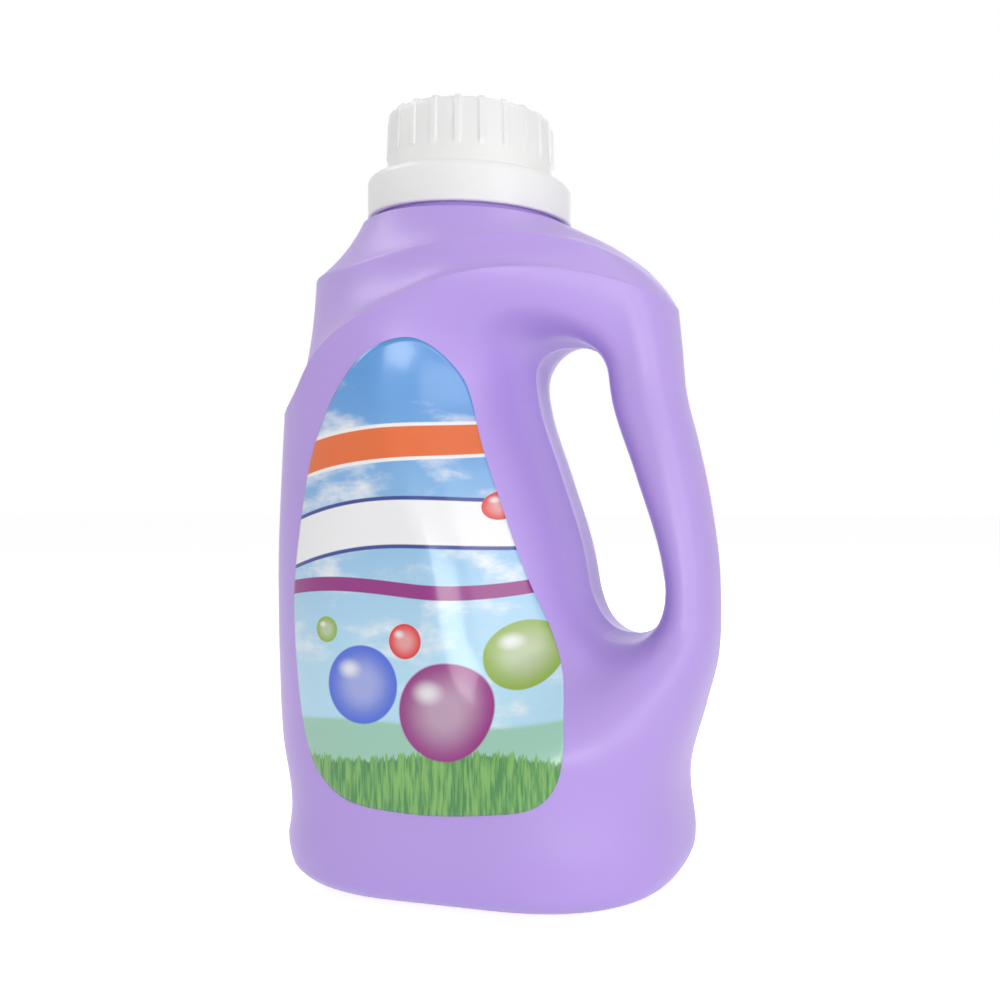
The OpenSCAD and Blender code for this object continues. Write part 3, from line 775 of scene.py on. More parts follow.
class EffectGroups:
    """The node groups that more than one material uses."""

    GRAIN = "moulded_grain"
    SEAM = "mould_seam"
    DISC = "printed_disc"
    WAVE = "printed_wave"

    @staticmethod
    def _start(
        name: str, inputs: dict[str, float | None], outputs: Sequence[str]
    ) -> tuple[NodeTree, bpy.types.NodeOutputs, bpy.types.NodeInputs]:
        """Make an empty group.

        Args:
            name: Name of the group.
            inputs: Default value by input name, None for a vector.
            outputs: Names of the outputs.

        Returns:
            The wrapped tree, the sockets that give and the sockets that take.
        """
        tree = bpy.data.node_groups.new(name, "ShaderNodeTree")
        for key, value in inputs.items():
            kind = "NodeSocketVector" if value is None else "NodeSocketFloat"
            socket = tree.interface.new_socket(key, in_out="INPUT", socket_type=kind)
            if value is not None:
                socket.default_value = value
        for key in outputs:
            tree.interface.new_socket(key, in_out="OUTPUT", socket_type="NodeSocketFloat")
        nodes = NodeTree(tree)
        return nodes, nodes.add("NodeGroupInput").outputs, nodes.add("NodeGroupOutput").inputs

    def make(self) -> None:
        """Make every group once."""
        self._grain()
        self._seam()
        self._disc()
        self._wave()

    def _grain(self) -> None:
        """Fine grain and slow mottle of a blasted mould, as height, mottle and roughness."""
        nodes, given, put = self._start(
            self.GRAIN,
            {
                "Vector": None, "Grain Scale": 900.0, "Mottle Scale": 30.0,
                "Roughness": 0.4, "Roughness Swing": 0.06,
            },
            ("Height", "Mottle", "Roughness"),
        )
        fine = nodes.noise(given["Vector"], given["Grain Scale"], detail=3.0, rough=0.6)
        slow = nodes.noise(given["Vector"], given["Mottle Scale"], detail=4.0)
        swing = nodes.math("MULTIPLY", nodes.math("SUBTRACT", slow, 0.5), given["Roughness Swing"])
        nodes.feed(put["Height"], fine)
        nodes.feed(put["Mottle"], slow)
        nodes.feed(put["Roughness"], nodes.math("ADD", given["Roughness"], swing))

    def _seam(self) -> None:
        """Thin ridge where a coordinate crosses zero, as in a mould's parting line."""
        inputs = {"Coordinate": 0.0, "Half Width": 0.0003}
        nodes, given, put = self._start(self.SEAM, inputs, ("Mask",))
        away = nodes.math("ABSOLUTE", given["Coordinate"])
        nodes.feed(put["Mask"], nodes.rest(nodes.step(away, 0.0, given["Half Width"])))

    def _disc(self) -> None:
        """Soft-edged ellipse in the print, as a mask and as the distance from its centre."""
        nodes, given, put = self._start(
            self.DISC,
            {
                "Across": 0.0, "Up": 0.0, "Centre Across": 0.5, "Centre Up": 0.5,
                "Radius Across": 0.1, "Radius Up": 0.1, "Softness": 0.02,
            },
            ("Mask", "Distance"),
        )
        squares = []
        for way in ("Across", "Up"):
            off = nodes.math("SUBTRACT", given[way], given[f"Centre {way}"])
            share = nodes.math("ABSOLUTE", nodes.math("DIVIDE", off, given[f"Radius {way}"]))
            squares.append(nodes.math("POWER", share, 2.0))
        distance = nodes.math("SQRT", nodes.math("ADD", *squares))
        inner = nodes.rest(given["Softness"])
        nodes.feed(put["Mask"], nodes.rest(nodes.step(distance, inner, 1.0)))
        nodes.feed(put["Distance"], distance)

    def _wave(self) -> None:
        """Waved band across the print, as a mask of the band and a mask of all below its middle."""
        nodes, given, put = self._start(
            self.WAVE,
            {
                "Across": 0.0, "Up": 0.0, "Level": 0.5, "Rise": 0.0, "Swell": 0.03,
                "Turns": 5.0, "Phase": 0.0, "Half Width": 0.03, "Softness": 0.003,
            },
            ("Band", "Below"),
        )
        across, half, soft = given["Across"], given["Half Width"], given["Softness"]
        turn = nodes.math("MULTIPLY_ADD", across, given["Turns"], given["Phase"])
        level = nodes.math("MULTIPLY_ADD", across, given["Rise"], given["Level"])
        middle = nodes.math("MULTIPLY_ADD", nodes.math("SINE", turn), given["Swell"], level)
        off = nodes.math("SUBTRACT", given["Up"], middle)
        outer = nodes.math("ADD", half, soft)
        nodes.feed(put["Band"], nodes.rest(nodes.step(nodes.math("ABSOLUTE", off), half, outer)))
        nodes.feed(put["Below"], nodes.rest(nodes.step(off, 0.0, soft)))


@dataclass(frozen=True)
class MouldedPlastic:
    """A plastic moulded in one colour, with grain, mottle and a parting line."""

    name: str
    colour: Colour
    deep: Colour
    roughness: float
    grain: float
    subsurface: float
    glow: Colour
    seam: float
    mottle: float = 0.25
    grain_scale: float = 900.0
    seam_half: float = 0.4 * MM
    bump_depth: float = 0.1 * MM
    glow_depth: float = 4 * MM
    ior: float = 1.5

    def make(self) -> bpy.types.Material:
        """Build the material.

        Returns:
            The new material.
        """
        material, nodes, shader = new_material(self.name)
        place = nodes.add("ShaderNodeTexCoord").outputs["Object"]
        grain = nodes.group(EffectGroups.GRAIN, {
            "Vector": place, "Roughness": self.roughness, "Grain Scale": self.grain_scale,
        }).outputs
        depth = nodes.add("ShaderNodeSeparateXYZ", {0: place}).outputs["Y"]
        seam = nodes.group(EffectGroups.SEAM, {"Coordinate": depth, "Half Width": self.seam_half})
        share = nodes.math("MULTIPLY", grain["Mottle"], self.mottle)
        nodes.feed(shader.inputs["Base Color"], nodes.blend(share, self.colour, self.deep))
        nodes.feed(shader.inputs["Roughness"], grain["Roughness"])
        height = nodes.math("MULTIPLY_ADD", seam.outputs["Mask"], self.seam, grain["Height"])
        bump = nodes.add("ShaderNodeBump", {
            "Strength": self.grain, "Distance": self.bump_depth, "Height": height,
        })
        nodes.feed(shader.inputs["Normal"], bump.outputs["Normal"])
        set_values(shader, {
            "Subsurface Weight": self.subsurface, "Subsurface Radius": self.glow,
            "Subsurface Scale": self.glow_depth, "IOR": self.ior,
        })
        return material


def white_plastic(name: str, roughness: float, grain: float) -> bpy.types.Material:
    """Make the white polypropylene of the closure.

    Args:
        name: Name of the material.
        roughness: Roughness of the surface.
        grain: Strength of the grain.

    Returns:
        The new material.
    """
    return MouldedPlastic(
        name=name, colour=(0.95, 0.95, 0.94), deep=(0.925, 0.925, 0.92),
        roughness=roughness, grain=grain, subsurface=0.2, glow=(1.0, 1.0, 1.0), seam=0.0,
    ).make()


def fit_out(
    piece: bpy.types.Object, material: bpy.types.Material, body: BodyName, node: Node
) -> None:
    """Give a piece its material and its place in the model.

    Args:
        piece: The finished piece.
        material: Its material.
        body: The body that it rides on.
        node: The solid that it replaces.
    """
    piece.data.materials.append(material)
    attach(piece, body.value)
    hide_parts(node.value)


class PrintMotif(Enum):
    """Colours of the print."""

    SKY_HIGH = (0.10, 0.33, 0.75)
    SKY_LOW = (0.50, 0.78, 0.94)
    CLOUD = (0.95, 0.97, 0.99)
    WHITE = (0.96, 0.96, 0.97)
    NAVY = (0.03, 0.05, 0.30)
    ORANGE = (0.86, 0.16, 0.03)
    RED = (0.78, 0.02, 0.02)
    MAGENTA = (0.30, 0.01, 0.22)
    BLUE = (0.06, 0.14, 0.72)
    LIME = (0.28, 0.44, 0.05)
    GRASS = (0.05, 0.26, 0.06)
    GRASS_LIGHT = (0.22, 0.50, 0.12)


class Ribbon(NamedTuple):
    """A waved ribbon of the print, in widths of the label."""

    level: float
    rise: float
    swell: float
    turns: float
    phase: float
    half: float
    motif: PrintMotif


class Bubble(NamedTuple):
    """A round bubble of the print, in widths of the label."""

    across: float
    up: float
    radius: float
    motif: PrintMotif


class PrintGround(NamedTuple):
    """Nodes and coordinates that every part of the print uses."""

    nodes: NodeTree
    place: bpy.types.NodeSocket
    across: bpy.types.NodeSocket
    up: bpy.types.NodeSocket


@dataclass(frozen=True)
class PrintedFilm:
    """The label's film, printed with a plain sky, waves and bubbles."""

    name: str
    left: float
    low: float
    width: float
    height: float
    ribbons: tuple[Ribbon, ...] = (
        Ribbon(0.86, 0.16, 0.05, 4.2, 0.5, 0.085, PrintMotif.NAVY),
        Ribbon(0.86, 0.16, 0.05, 4.2, 0.5, 0.072, PrintMotif.WHITE),
        Ribbon(1.13, 0.22, 0.035, 4.6, 0.9, 0.062, PrintMotif.WHITE),
        Ribbon(1.13, 0.22, 0.035, 4.6, 0.9, 0.050, PrintMotif.ORANGE),
        Ribbon(0.70, 0.10, 0.04, 4.8, 1.1, 0.022, PrintMotif.MAGENTA),
    )
    bubbles: tuple[Bubble, ...] = (
        Bubble(0.30, 0.42, 0.135, PrintMotif.BLUE),
        Bubble(0.60, 0.34, 0.165, PrintMotif.MAGENTA),
        Bubble(0.82, 0.52, 0.115, PrintMotif.LIME),
        Bubble(0.46, 0.57, 0.060, PrintMotif.RED),
        Bubble(0.16, 0.60, 0.045, PrintMotif.LIME),
        Bubble(0.72, 1.02, 0.050, PrintMotif.RED),
    )

    def make(self) -> bpy.types.Material:
        """Build the material.

        Returns:
            The new material.
        """
        material, nodes, shader = new_material(self.name)
        place = nodes.add("ShaderNodeTexCoord").outputs["Object"]
        split = nodes.add("ShaderNodeSeparateXYZ", {0: place}).outputs
        scale = 1.0 / (self.width * MM)
        across, up = (
            nodes.math("MULTIPLY", nodes.math("SUBTRACT", split[axis], start * MM), scale)
            for axis, start in (("X", self.left), ("Z", self.low))
        )
        ground = PrintGround(nodes, place, across, up)
        colour = self._sky(ground)
        for layer in (self._hills, self._waves, self._bubbles):
            colour = layer(ground, colour)
        nodes.feed(shader.inputs["Base Color"], colour)
        set_values(shader, {"Roughness": 0.28, "Coat Weight": 0.4, "Coat Roughness": 0.12})
        return material

    def _sky(self, ground: PrintGround) -> bpy.types.NodeSocket:
        """Sky that pales downwards, with soft clouds.

        Args:
            ground: Nodes and coordinates of the print.

        Returns:
            The colour.
        """
        nodes = ground.nodes
        height = self.height / self.width
        high = nodes.step(ground.up, 0.2 * height, height)
        colour = nodes.blend(high, PrintMotif.SKY_LOW.value, PrintMotif.SKY_HIGH.value)
        flat = nodes.stretch(ground.place, (1.0, 1.0, 2.1))
        cloud = nodes.noise(flat, 34.0, detail=7.0, rough=0.55)
        mask = nodes.math("MULTIPLY", nodes.step(cloud, 0.5, 0.68), 0.9)
        return nodes.blend(mask, colour, PrintMotif.CLOUD.value)

    def _hills(self, ground: PrintGround, colour: bpy.types.NodeSocket) -> bpy.types.NodeSocket:
        """Far hill and near meadow, with blades of grass along its top.

        Args:
            ground: Nodes and coordinates of the print.
            colour: The colour so far.

        Returns:
            The colour with the hills.
        """
        nodes = ground.nodes
        blades = nodes.noise(nodes.stretch(ground.place, (9.0, 1.0, 0.8)), 130.0, detail=3.0)
        tips = nodes.math("MULTIPLY_ADD", blades, -0.09, ground.up)
        light = nodes.step(blades, 0.35, 0.65)
        green = nodes.blend(light, PrintMotif.GRASS.value, PrintMotif.GRASS_LIGHT.value)
        far = nodes.group(EffectGroups.WAVE, {
            "Across": ground.across, "Up": ground.up, "Level": 0.24, "Rise": 0.10,
            "Swell": 0.035, "Turns": 4.2, "Phase": 1.2, "Softness": 0.02,
        })
        near = nodes.group(EffectGroups.WAVE, {
            "Across": ground.across, "Up": tips, "Level": 0.15, "Rise": -0.02,
            "Swell": 0.03, "Turns": 5.0, "Phase": 4.0, "Softness": 0.012,
        })
        pale = nodes.blend(0.45, PrintMotif.GRASS_LIGHT.value, PrintMotif.SKY_LOW.value)
        colour = nodes.blend(far.outputs["Below"], colour, pale)
        return nodes.blend(near.outputs["Below"], colour, green)

    def _waves(self, ground: PrintGround, colour: bpy.types.NodeSocket) -> bpy.types.NodeSocket:
        """Broad white and coloured ribbons across the middle.

        Args:
            ground: Nodes and coordinates of the print.
            colour: The colour so far.

        Returns:
            The colour with the ribbons.
        """
        nodes = ground.nodes
        for ribbon in self.ribbons:
            wave = nodes.group(EffectGroups.WAVE, {
                "Across": ground.across, "Up": ground.up, "Level": ribbon.level,
                "Rise": ribbon.rise, "Swell": ribbon.swell, "Turns": ribbon.turns,
                "Phase": ribbon.phase, "Half Width": ribbon.half, "Softness": 0.004,
            })
            colour = nodes.blend(wave.outputs["Band"], colour, ribbon.motif.value)
        return colour

    def _bubbles(self, ground: PrintGround, colour: bpy.types.NodeSocket) -> bpy.types.NodeSocket:
        """Round bubbles, each darker towards its rim and with a light spot.

        Args:
            ground: Nodes and coordinates of the print.
            colour: The colour so far.

        Returns:
            The colour with the bubbles.
        """
        nodes = ground.nodes
        white = PrintMotif.WHITE.value
        for x, z, radius, motif in self.bubbles:
            disc = nodes.group(EffectGroups.DISC, {
                "Across": ground.across, "Up": ground.up, "Centre Across": x, "Centre Up": z,
                "Radius Across": radius, "Radius Up": radius, "Softness": 0.05,
            })
            spot = nodes.group(EffectGroups.DISC, {
                "Across": ground.across, "Up": ground.up,
                "Centre Across": x - radius * 0.35, "Centre Up": z + radius * 0.38,
                "Radius Across": radius * 0.42, "Radius Up": radius * 0.32, "Softness": 0.9,
            })
            pale = nodes.blend(0.35, motif.value, white)
            fill = nodes.blend(nodes.step(disc.outputs["Distance"], 0.2, 1.0), pale, motif.value)
            fill = nodes.blend(nodes.math("MULTIPLY", spot.outputs["Mask"], 0.8), fill, white)
            colour = nodes.blend(disc.outputs["Mask"], colour, fill)
        return colour


@dataclass
class Bottle:
    """The blown body with its handle, shoulder and neck."""

    sizes: BottleSizes = field(default_factory=BottleSizes)
    step_round: float = 0.7
    step_end_round: float = 7.0
    step_fades: tuple[float, float] = (0.88, 0.72)
    end_share: float = 0.03
    foot_round: float = 9.0
    foot_steps: int = 14
    dome_w: float = 4.0
    dome_up: float = 0.8
    bead_up: float = 4.6
    wall: float = 1.1

    def __post_init__(self) -> None:
        """Work out the form once."""
        self.form = BottleForm(self.sizes)

    def neck_profile(self) -> list[tuple[float, float]]:
        """Rings from the ledge over the bead and the mouth into the bore.

        Returns:
            Radius and height of each ring.
        """
        s = self.sizes
        root, bead, mouth = s.rim_z, s.neck_z + self.bead_up, s.neck_z + s.neck_h
        neck, out, bore = s.neck_r, s.neck_r + s.bead_out, s.bore_r
        return [
            (s.rim_r - 0.5, root + 0.3), (s.rim_r - 1.4, root + 0.1), (neck + 1.2, root + 0.2),
            (neck + 0.3, root + 0.7), (neck, root + 1.6),
            (neck, bead - 0.9), (out, bead - 0.5), (out, bead + 0.4), (neck, bead + 1.6),
            (neck, mouth - 0.8), (neck - 0.8, mouth), (bore + 0.5, mouth), (bore, mouth - 0.5),
            (bore, s.neck_z - self.wall),
        ]

    def foot_rows(self, panel: Grid) -> Grid:
        """Closed loops of the base, from the panel's lower edge to the middle.

        Args:
            panel: The front panel.

        Returns:
            Loops by points by three coordinates.
        """
        s, form = self.sizes, self.form
        start = form.top_n + form.handle_n + form.heel_n
        edge = panel[start:start + form.base_n + 1, -1]
        loop = np.concatenate([edge, edge[-2:0:-1] * MIRROR])
        left, right = float(form.left_x(s.foot_r)), float(form.right_x(s.foot_r))
        middle, half = (left + right) / 2, (right - left) / 2
        angles = np.linspace(0, math.pi / 2, self.foot_steps + 1)
        profile = [(s.foot_r * (1 - math.cos(a)), s.foot_r * (1 - math.sin(a))) for a in angles]
        ring = s.foot_r + s.ring_w
        dome = ring + self.dome_w
        rise = np.linspace(0, 1, 9)
        profile += [(ring + self.dome_w * t, s.push_up * float(ramp(t))) for t in rise]
        for t in (0.25, 0.5, 0.75, 1):
            up = s.push_up + self.dome_up * math.sin(math.pi / 2 * t)
            profile.append((mix(dome, half, t), up))
        rows = []
        for inset, z in profile:
            row = loop.copy()
            row[:, 0] = middle + (loop[:, 0] - middle) * max(0.0, 1 - inset / half)
            front = inset * s.foot_front / s.foot_r
            drawn_in = min(front / (s.depth / 2), inset / half if inset > dome else 1)
            row[:, 1] = loop[:, 1] * max(0.0, 1 - drawn_in)
            row[:, 2] = z
            rows.append(row)
        rows[-1][:, :2] = (middle, 0)
        return np.array(rows)

    def _soften_foot(self, panel: Grid, foot: Grid) -> Grid:
        """Round the crease between the panel and the base, in both grids.

        Args:
            panel: The front panel, changed in place.
            foot: Closed loops of the base.

        Returns:
            The base with its part of the rounding.
        """
        form = self.form
        start = form.top_n + form.handle_n + form.heel_n
        columns = slice(start + 1, start + form.base_n)
        count = form.rings // 3
        above = panel[columns, -count - 1:-1].transpose(1, 0, 2)
        joined = np.concatenate([above, foot[:, 1:form.base_n]])
        turn = np.pi * np.arange(1, form.base_n) / form.base_n
        joined = round_edge(joined, count, self.foot_round * np.sqrt(np.sin(turn)))
        panel[columns, -count - 1:] = joined[:count + 1].transpose(1, 0, 2)
        made = foot.copy()
        made[:, 1:form.base_n] = joined[count:]
        made[:, form.base_n + 1:] = joined[count:, ::-1] * MIRROR
        return made

    def build(self) -> bpy.types.Object:
        """Build the skin of the body.

        Returns:
            The body's object.
        """
        form = self.form
        panel = form.panel()
        rows, edges = form.shoulder(panel)
        grid = np.array(rows)
        along = np.arange(form.top_n + 1) / form.top_n
        starts = (ramp(along / self.end_share), 1.0)
        for edge, fade, start in zip(edges, self.step_fades, starts):
            soft = ramp((along - fade) / (1 - fade))
            radius = mix(self.step_round, self.step_end_round, soft)
            radius = radius * ramp((1 - along) / self.end_share) * start
            grid = round_edge(grid, edge, radius)
        half = form.rings // 2
        count = form.rings - half + 1
        panel[:form.top_n + 1, half:] = grid[:count].transpose(1, 0, 2)
        foot = self._soften_foot(panel, self.foot_rows(panel))
        builder = MeshBuilder("detergent_bottle")
        closed = np.concatenate([panel, panel[:1]])
        builder.grid(closed, flip=True)
        builder.grid(closed * MIRROR)
        neck = np.array([form.ring_row(r, z) for r, z in self.neck_profile()])
        above = np.concatenate([grid[count - 1:], neck])
        loops = np.concatenate([above, above[:, -2:0:-1] * MIRROR], axis=1)
        builder.grid(loops, wrap=True)
        builder.grid(foot, wrap=True)
        return builder.build()

    def dress(self, piece: bpy.types.Object) -> None:
        """Give the body its lavender polyethylene and its place in the model.

        Args:
            piece: The finished body.
        """
        finish = MouldedPlastic(
            name="lavender_polyethylene", colour=(0.535, 0.375, 0.86), deep=(0.487, 0.337, 0.825),
            roughness=0.38, grain=0.25, subsurface=0.05, glow=(0.9, 0.6, 1.0), seam=1.4,
        )
        fit_out(piece, finish.make(), BodyName.BODY, Node.BOTTLE)


@dataclass(frozen=True)
class ClosureSizes:
    """Sizes of the pour spout and the cap, in millimetres."""

    fit: float = 0.3
    collar_wall: float = 1.7
    collar_round: float = 2.4
    collar_top: float = 1.6
    collar_gap: float = 0.5
    spout_wall: float = 1.3
    well_depth: float = 22.0
    well_slope: float = 8.0
    spout_r: float = 15.0
    spout_tip_r: float = 12.5
    spout_h: float = 15.0
    lip_slope: float = 24.0
    slot_w: float = 5.0
    cap_lip: float = 0.8
    cap_taper: float = 0.9
    cap_h: float = 22.2
    cap_round: float = 2.6
    cap_wall: float = 1.4
    skirt_l: float = 14.0
    rib_n: int = 22
    rib_angle: float = 4.4
    rib_out: float = 0.6
    band_h: float = 6.5
    chamfer: float = 0.4
    lip_round: float = 0.6
    thread_pitch: float = 5.0
    thread_out: float = 0.25
    longest: float = 0.6


def revolve(profile: Sequence[tuple[float, float]], degrees: Grid, centre: float) -> Grid:
    """Turn a profile round a vertical axis.

    Args:
        profile: Radius and height of each row.
        degrees: Angles of the columns.
        centre: Place of the axis across the width.

    Returns:
        Rows by columns by three coordinates.
    """
    a = np.radians(degrees)[None]
    shape = np.array(profile, float)
    r, z = shape[:, :1], shape[:, 1:]
    return np.stack([centre + r * np.cos(a), r * np.sin(a), z + 0 * a], axis=2)


def arc(
    x: float, z: float, radius: float, start: float, end: float, steps: int
) -> list[tuple[float, float]]:
    """Points of a round stretch in a profile, between two angles in degrees."""
    angles = np.radians(np.linspace(start, end, steps + 1))
    return [(x + radius * math.cos(a), z + radius * math.sin(a)) for a in angles]


def densify(profile: Sequence[tuple[float, float]], longest: float) -> Grid:
    """Split long stretches of a profile.

    Args:
        profile: Radius and height of each row.
        longest: Longest step that stays.

    Returns:
        The profile with more rows.
    """
    made = [np.array(profile[0], float)]
    for point in profile[1:]:
        end = np.array(point, float)
        steps = max(1, math.ceil(np.linalg.norm(end - made[-1]) / longest))
        start = made[-1]
        made += [start + (end - start) * (n + 1) / steps for n in range(steps)]
    return np.array(made)


def thread_ridge(
    points: Grid, centre: float, low: float, high: float, pitch: float, out: float
) -> Grid:
    """Raise a screw thread on a turned grid.

    Args:
        points: Rows by columns of a turned grid.
        centre: Place of the axis across the width.
        low: Height of the thread's start.
        high: Height of the thread's end.
        pitch: Height of one turn.
        out: How far the thread stands out, negative for inwards.

    Returns:
        The grid with the thread.
    """
    x, y, z = points[..., 0] - centre, points[..., 1], points[..., 2]
    radius = np.hypot(x, y)
    turn = np.arctan2(y, x) / (2 * math.pi)
    phase = (z - low) / pitch - turn
    away = np.abs(phase - np.round(phase)) * pitch
    ridge = ramp((THREAD_HALF - away) / THREAD_FLANK)
    ends = ramp((z - low) / THREAD_END) * ramp((high - z) / THREAD_END)
    share = 1 + out * ridge * ends / radius
    return np.stack([centre + x * share, y * share, z], axis=2)


@dataclass
class PourSpout:
    """Collar, well and slanted spout, one moulding."""

    body: BottleSizes = field(default_factory=BottleSizes)
    sizes: ClosureSizes = field(default_factory=ClosureSizes)
    outer_rows: int = 13
    inner_rows: int = 15

    def __post_init__(self) -> None:
        """Work out the heights that other sizes give."""
        b, s = self.body, self.sizes
        self.centre = -b.neck_offset
        self.low = b.neck_z + s.collar_gap
        self.top = b.neck_z + b.neck_h + s.fit + s.collar_top
        self.well_r = b.bore_r - s.fit
        self.well_in = self.well_r - s.spout_wall
        self.skirt_r = b.neck_r + b.bead_out + s.fit
        self.collar_r = self.skirt_r + s.collar_wall
        self.floor_z = self.top - s.well_depth
        self.fall = math.tan(math.radians(s.well_slope))
        self.floor_mid = self.floor_z - self.well_in * self.fall
        self.floor_top = self.floor_mid + s.spout_wall / math.cos(math.radians(s.well_slope))
        self.spout_low = self.floor_mid - s.spout_r * self.fall
        self.tip_z = self.top + s.spout_h

    def _cone(self, grow: float, plane_z: float, fall: float, degrees: Grid) -> Grid:
        """Where the spout's cone meets a plane that falls towards the handle.

        Args:
            grow: How far the cone is moved out.
            plane_z: Height of the plane on the axis.
            fall: Fall of the plane per millimetre.
            degrees: Angles of the columns.

        Returns:
            Columns by three coordinates.
        """
        s = self.sizes
        lean = (s.spout_r - s.spout_tip_r) / (self.tip_z - self.spout_low)
        a = np.radians(degrees)
        start = s.spout_r + grow - lean * (plane_z - self.spout_low)
        r = start / (1 - lean * np.cos(a) * fall)
        x, y = r * np.cos(a), r * np.sin(a)
        return np.stack([self.centre + x, y, plane_z - x * fall], axis=1)

    def _well_ring(self, radius: float, z: float, degrees: Grid) -> Grid:
        """Ring in the well, as sloped as its floor.

        Args:
            radius: Radius of the ring.
            z: Height of its plane on the axis.
            degrees: Angles of the columns.

        Returns:
            Columns by three coordinates.
        """
        a = np.radians(degrees)
        x, y = radius * np.cos(a), radius * np.sin(a)
        return np.stack([self.centre + x, y, z - x * self.fall], axis=1)

    def _spout(self, builder: MeshBuilder) -> None:
        """Add the spout: outer wall, rounded lip, inner wall and the slot's two faces.

        Args:
            builder: The mesh to add to.
        """
        s = self.sizes
        half = math.degrees(math.asin(s.slot_w / 2 / s.spout_r))
        degrees = np.linspace(half, 360 - half, 145)
        lip_fall = math.tan(math.radians(s.lip_slope))
        lip_z = self.tip_z - s.spout_tip_r * lip_fall
        foot = self._cone(0.0, self.floor_top, self.fall, degrees)
        edge = self._cone(0.0, lip_z - 0.5, lip_fall, degrees)
        rows = [mix(foot, edge, t) for t in np.linspace(0, 1, self.outer_rows)]
        middle = self._cone(-s.spout_wall / 2, lip_z, lip_fall, degrees)
        inside = self._cone(-s.spout_wall, lip_z - 0.5, lip_fall, degrees)
        for angle in np.radians((30, 60, 90, 120, 150)):
            across = mix(edge, inside, (1 - math.cos(angle)) / 2)
            lift = (middle[:, 2] - (edge[:, 2] + inside[:, 2]) / 2) * math.sin(angle)
            rows.append(across + np.stack([0 * lift, 0 * lift, lift], axis=1))
        under = self._cone(-s.spout_wall, self.spout_low, 0.0, degrees)
        rows += [mix(inside, under, t) for t in np.linspace(0, 1, self.inner_rows)]
        grid = np.array(rows)
        builder.grid(grid, flip=True)
        for column in (0, -1):
            outer, inner = grid[:self.outer_rows, column], grid[-self.inner_rows:, column][::-1]
            facing = [np.interp(outer[:, 2], inner[:, 2], inner[:, c]) for c in range(3)]
            builder.grid(np.stack([outer, np.array(facing).T], axis=1), flip=column == 0)

    def _floor(self, builder: MeshBuilder) -> None:
        """Add both faces of the sloped floor between the spout and the well.

        Args:
            builder: The mesh to add to.
        """
        degrees = np.linspace(0, 360, 241)
        inner = self._cone(0.0, self.floor_top, self.fall, degrees)
        outer = self._well_ring(self.well_in, self.floor_top, degrees)
        builder.grid(np.array([mix(inner, outer, t) for t in np.linspace(0, 1, 9)]))
        inner = self._cone(-self.sizes.spout_wall, self.spout_low, 0.0, degrees)
        outer = self._well_ring(self.well_r, self.floor_mid, degrees)
        builder.grid(np.array([mix(inner, outer, t) for t in np.linspace(0, 1, 5)]), flip=True)

    def build(self) -> bpy.types.Object:
        """Build the moulding.

        Returns:
            The pour spout's object.
        """
        s = self.sizes
        skirt, collar, low, top = self.skirt_r, self.collar_r, self.low, self.top
        well, foot_z = self.well_in, self.floor_z - 2 * self.well_in * self.fall - 0.5
        profile = [(skirt, low + 4), (skirt, low), (collar - s.chamfer, low)]
        profile += [(collar, low + s.chamfer)]
        profile += arc(collar - s.collar_round, top - s.collar_round, s.collar_round, 0, 90, 10)
        profile += arc(well + s.lip_round, top - s.lip_round, s.lip_round, 90, 180, 5)
        profile += [(well, foot_z), (self.well_r, foot_z), (self.well_r, top - s.collar_top)]
        grid = revolve(densify(profile, s.longest), np.arange(240) * 1.5, self.centre)
        inner = np.hypot(grid[..., 0] - self.centre, grid[..., 1]) < well + 0.01
        cut = thread_ridge(grid, self.centre, top - 13, top - 2, s.thread_pitch, -s.thread_out)
        grid = np.where(inner[..., None], cut, grid)
        builder = MeshBuilder("pour_spout_moulding")
        builder.grid(grid, wrap=True)
        self._floor(builder)
        self._spout(builder)
        return builder.build()

    def dress(self, piece: bpy.types.Object) -> None:
        """Give the moulding its white polypropylene and its place in the model."""
        finish = white_plastic("white_polypropylene", roughness=0.34, grain=0.08)
        fit_out(piece, finish, BodyName.BODY, Node.SPOUT)


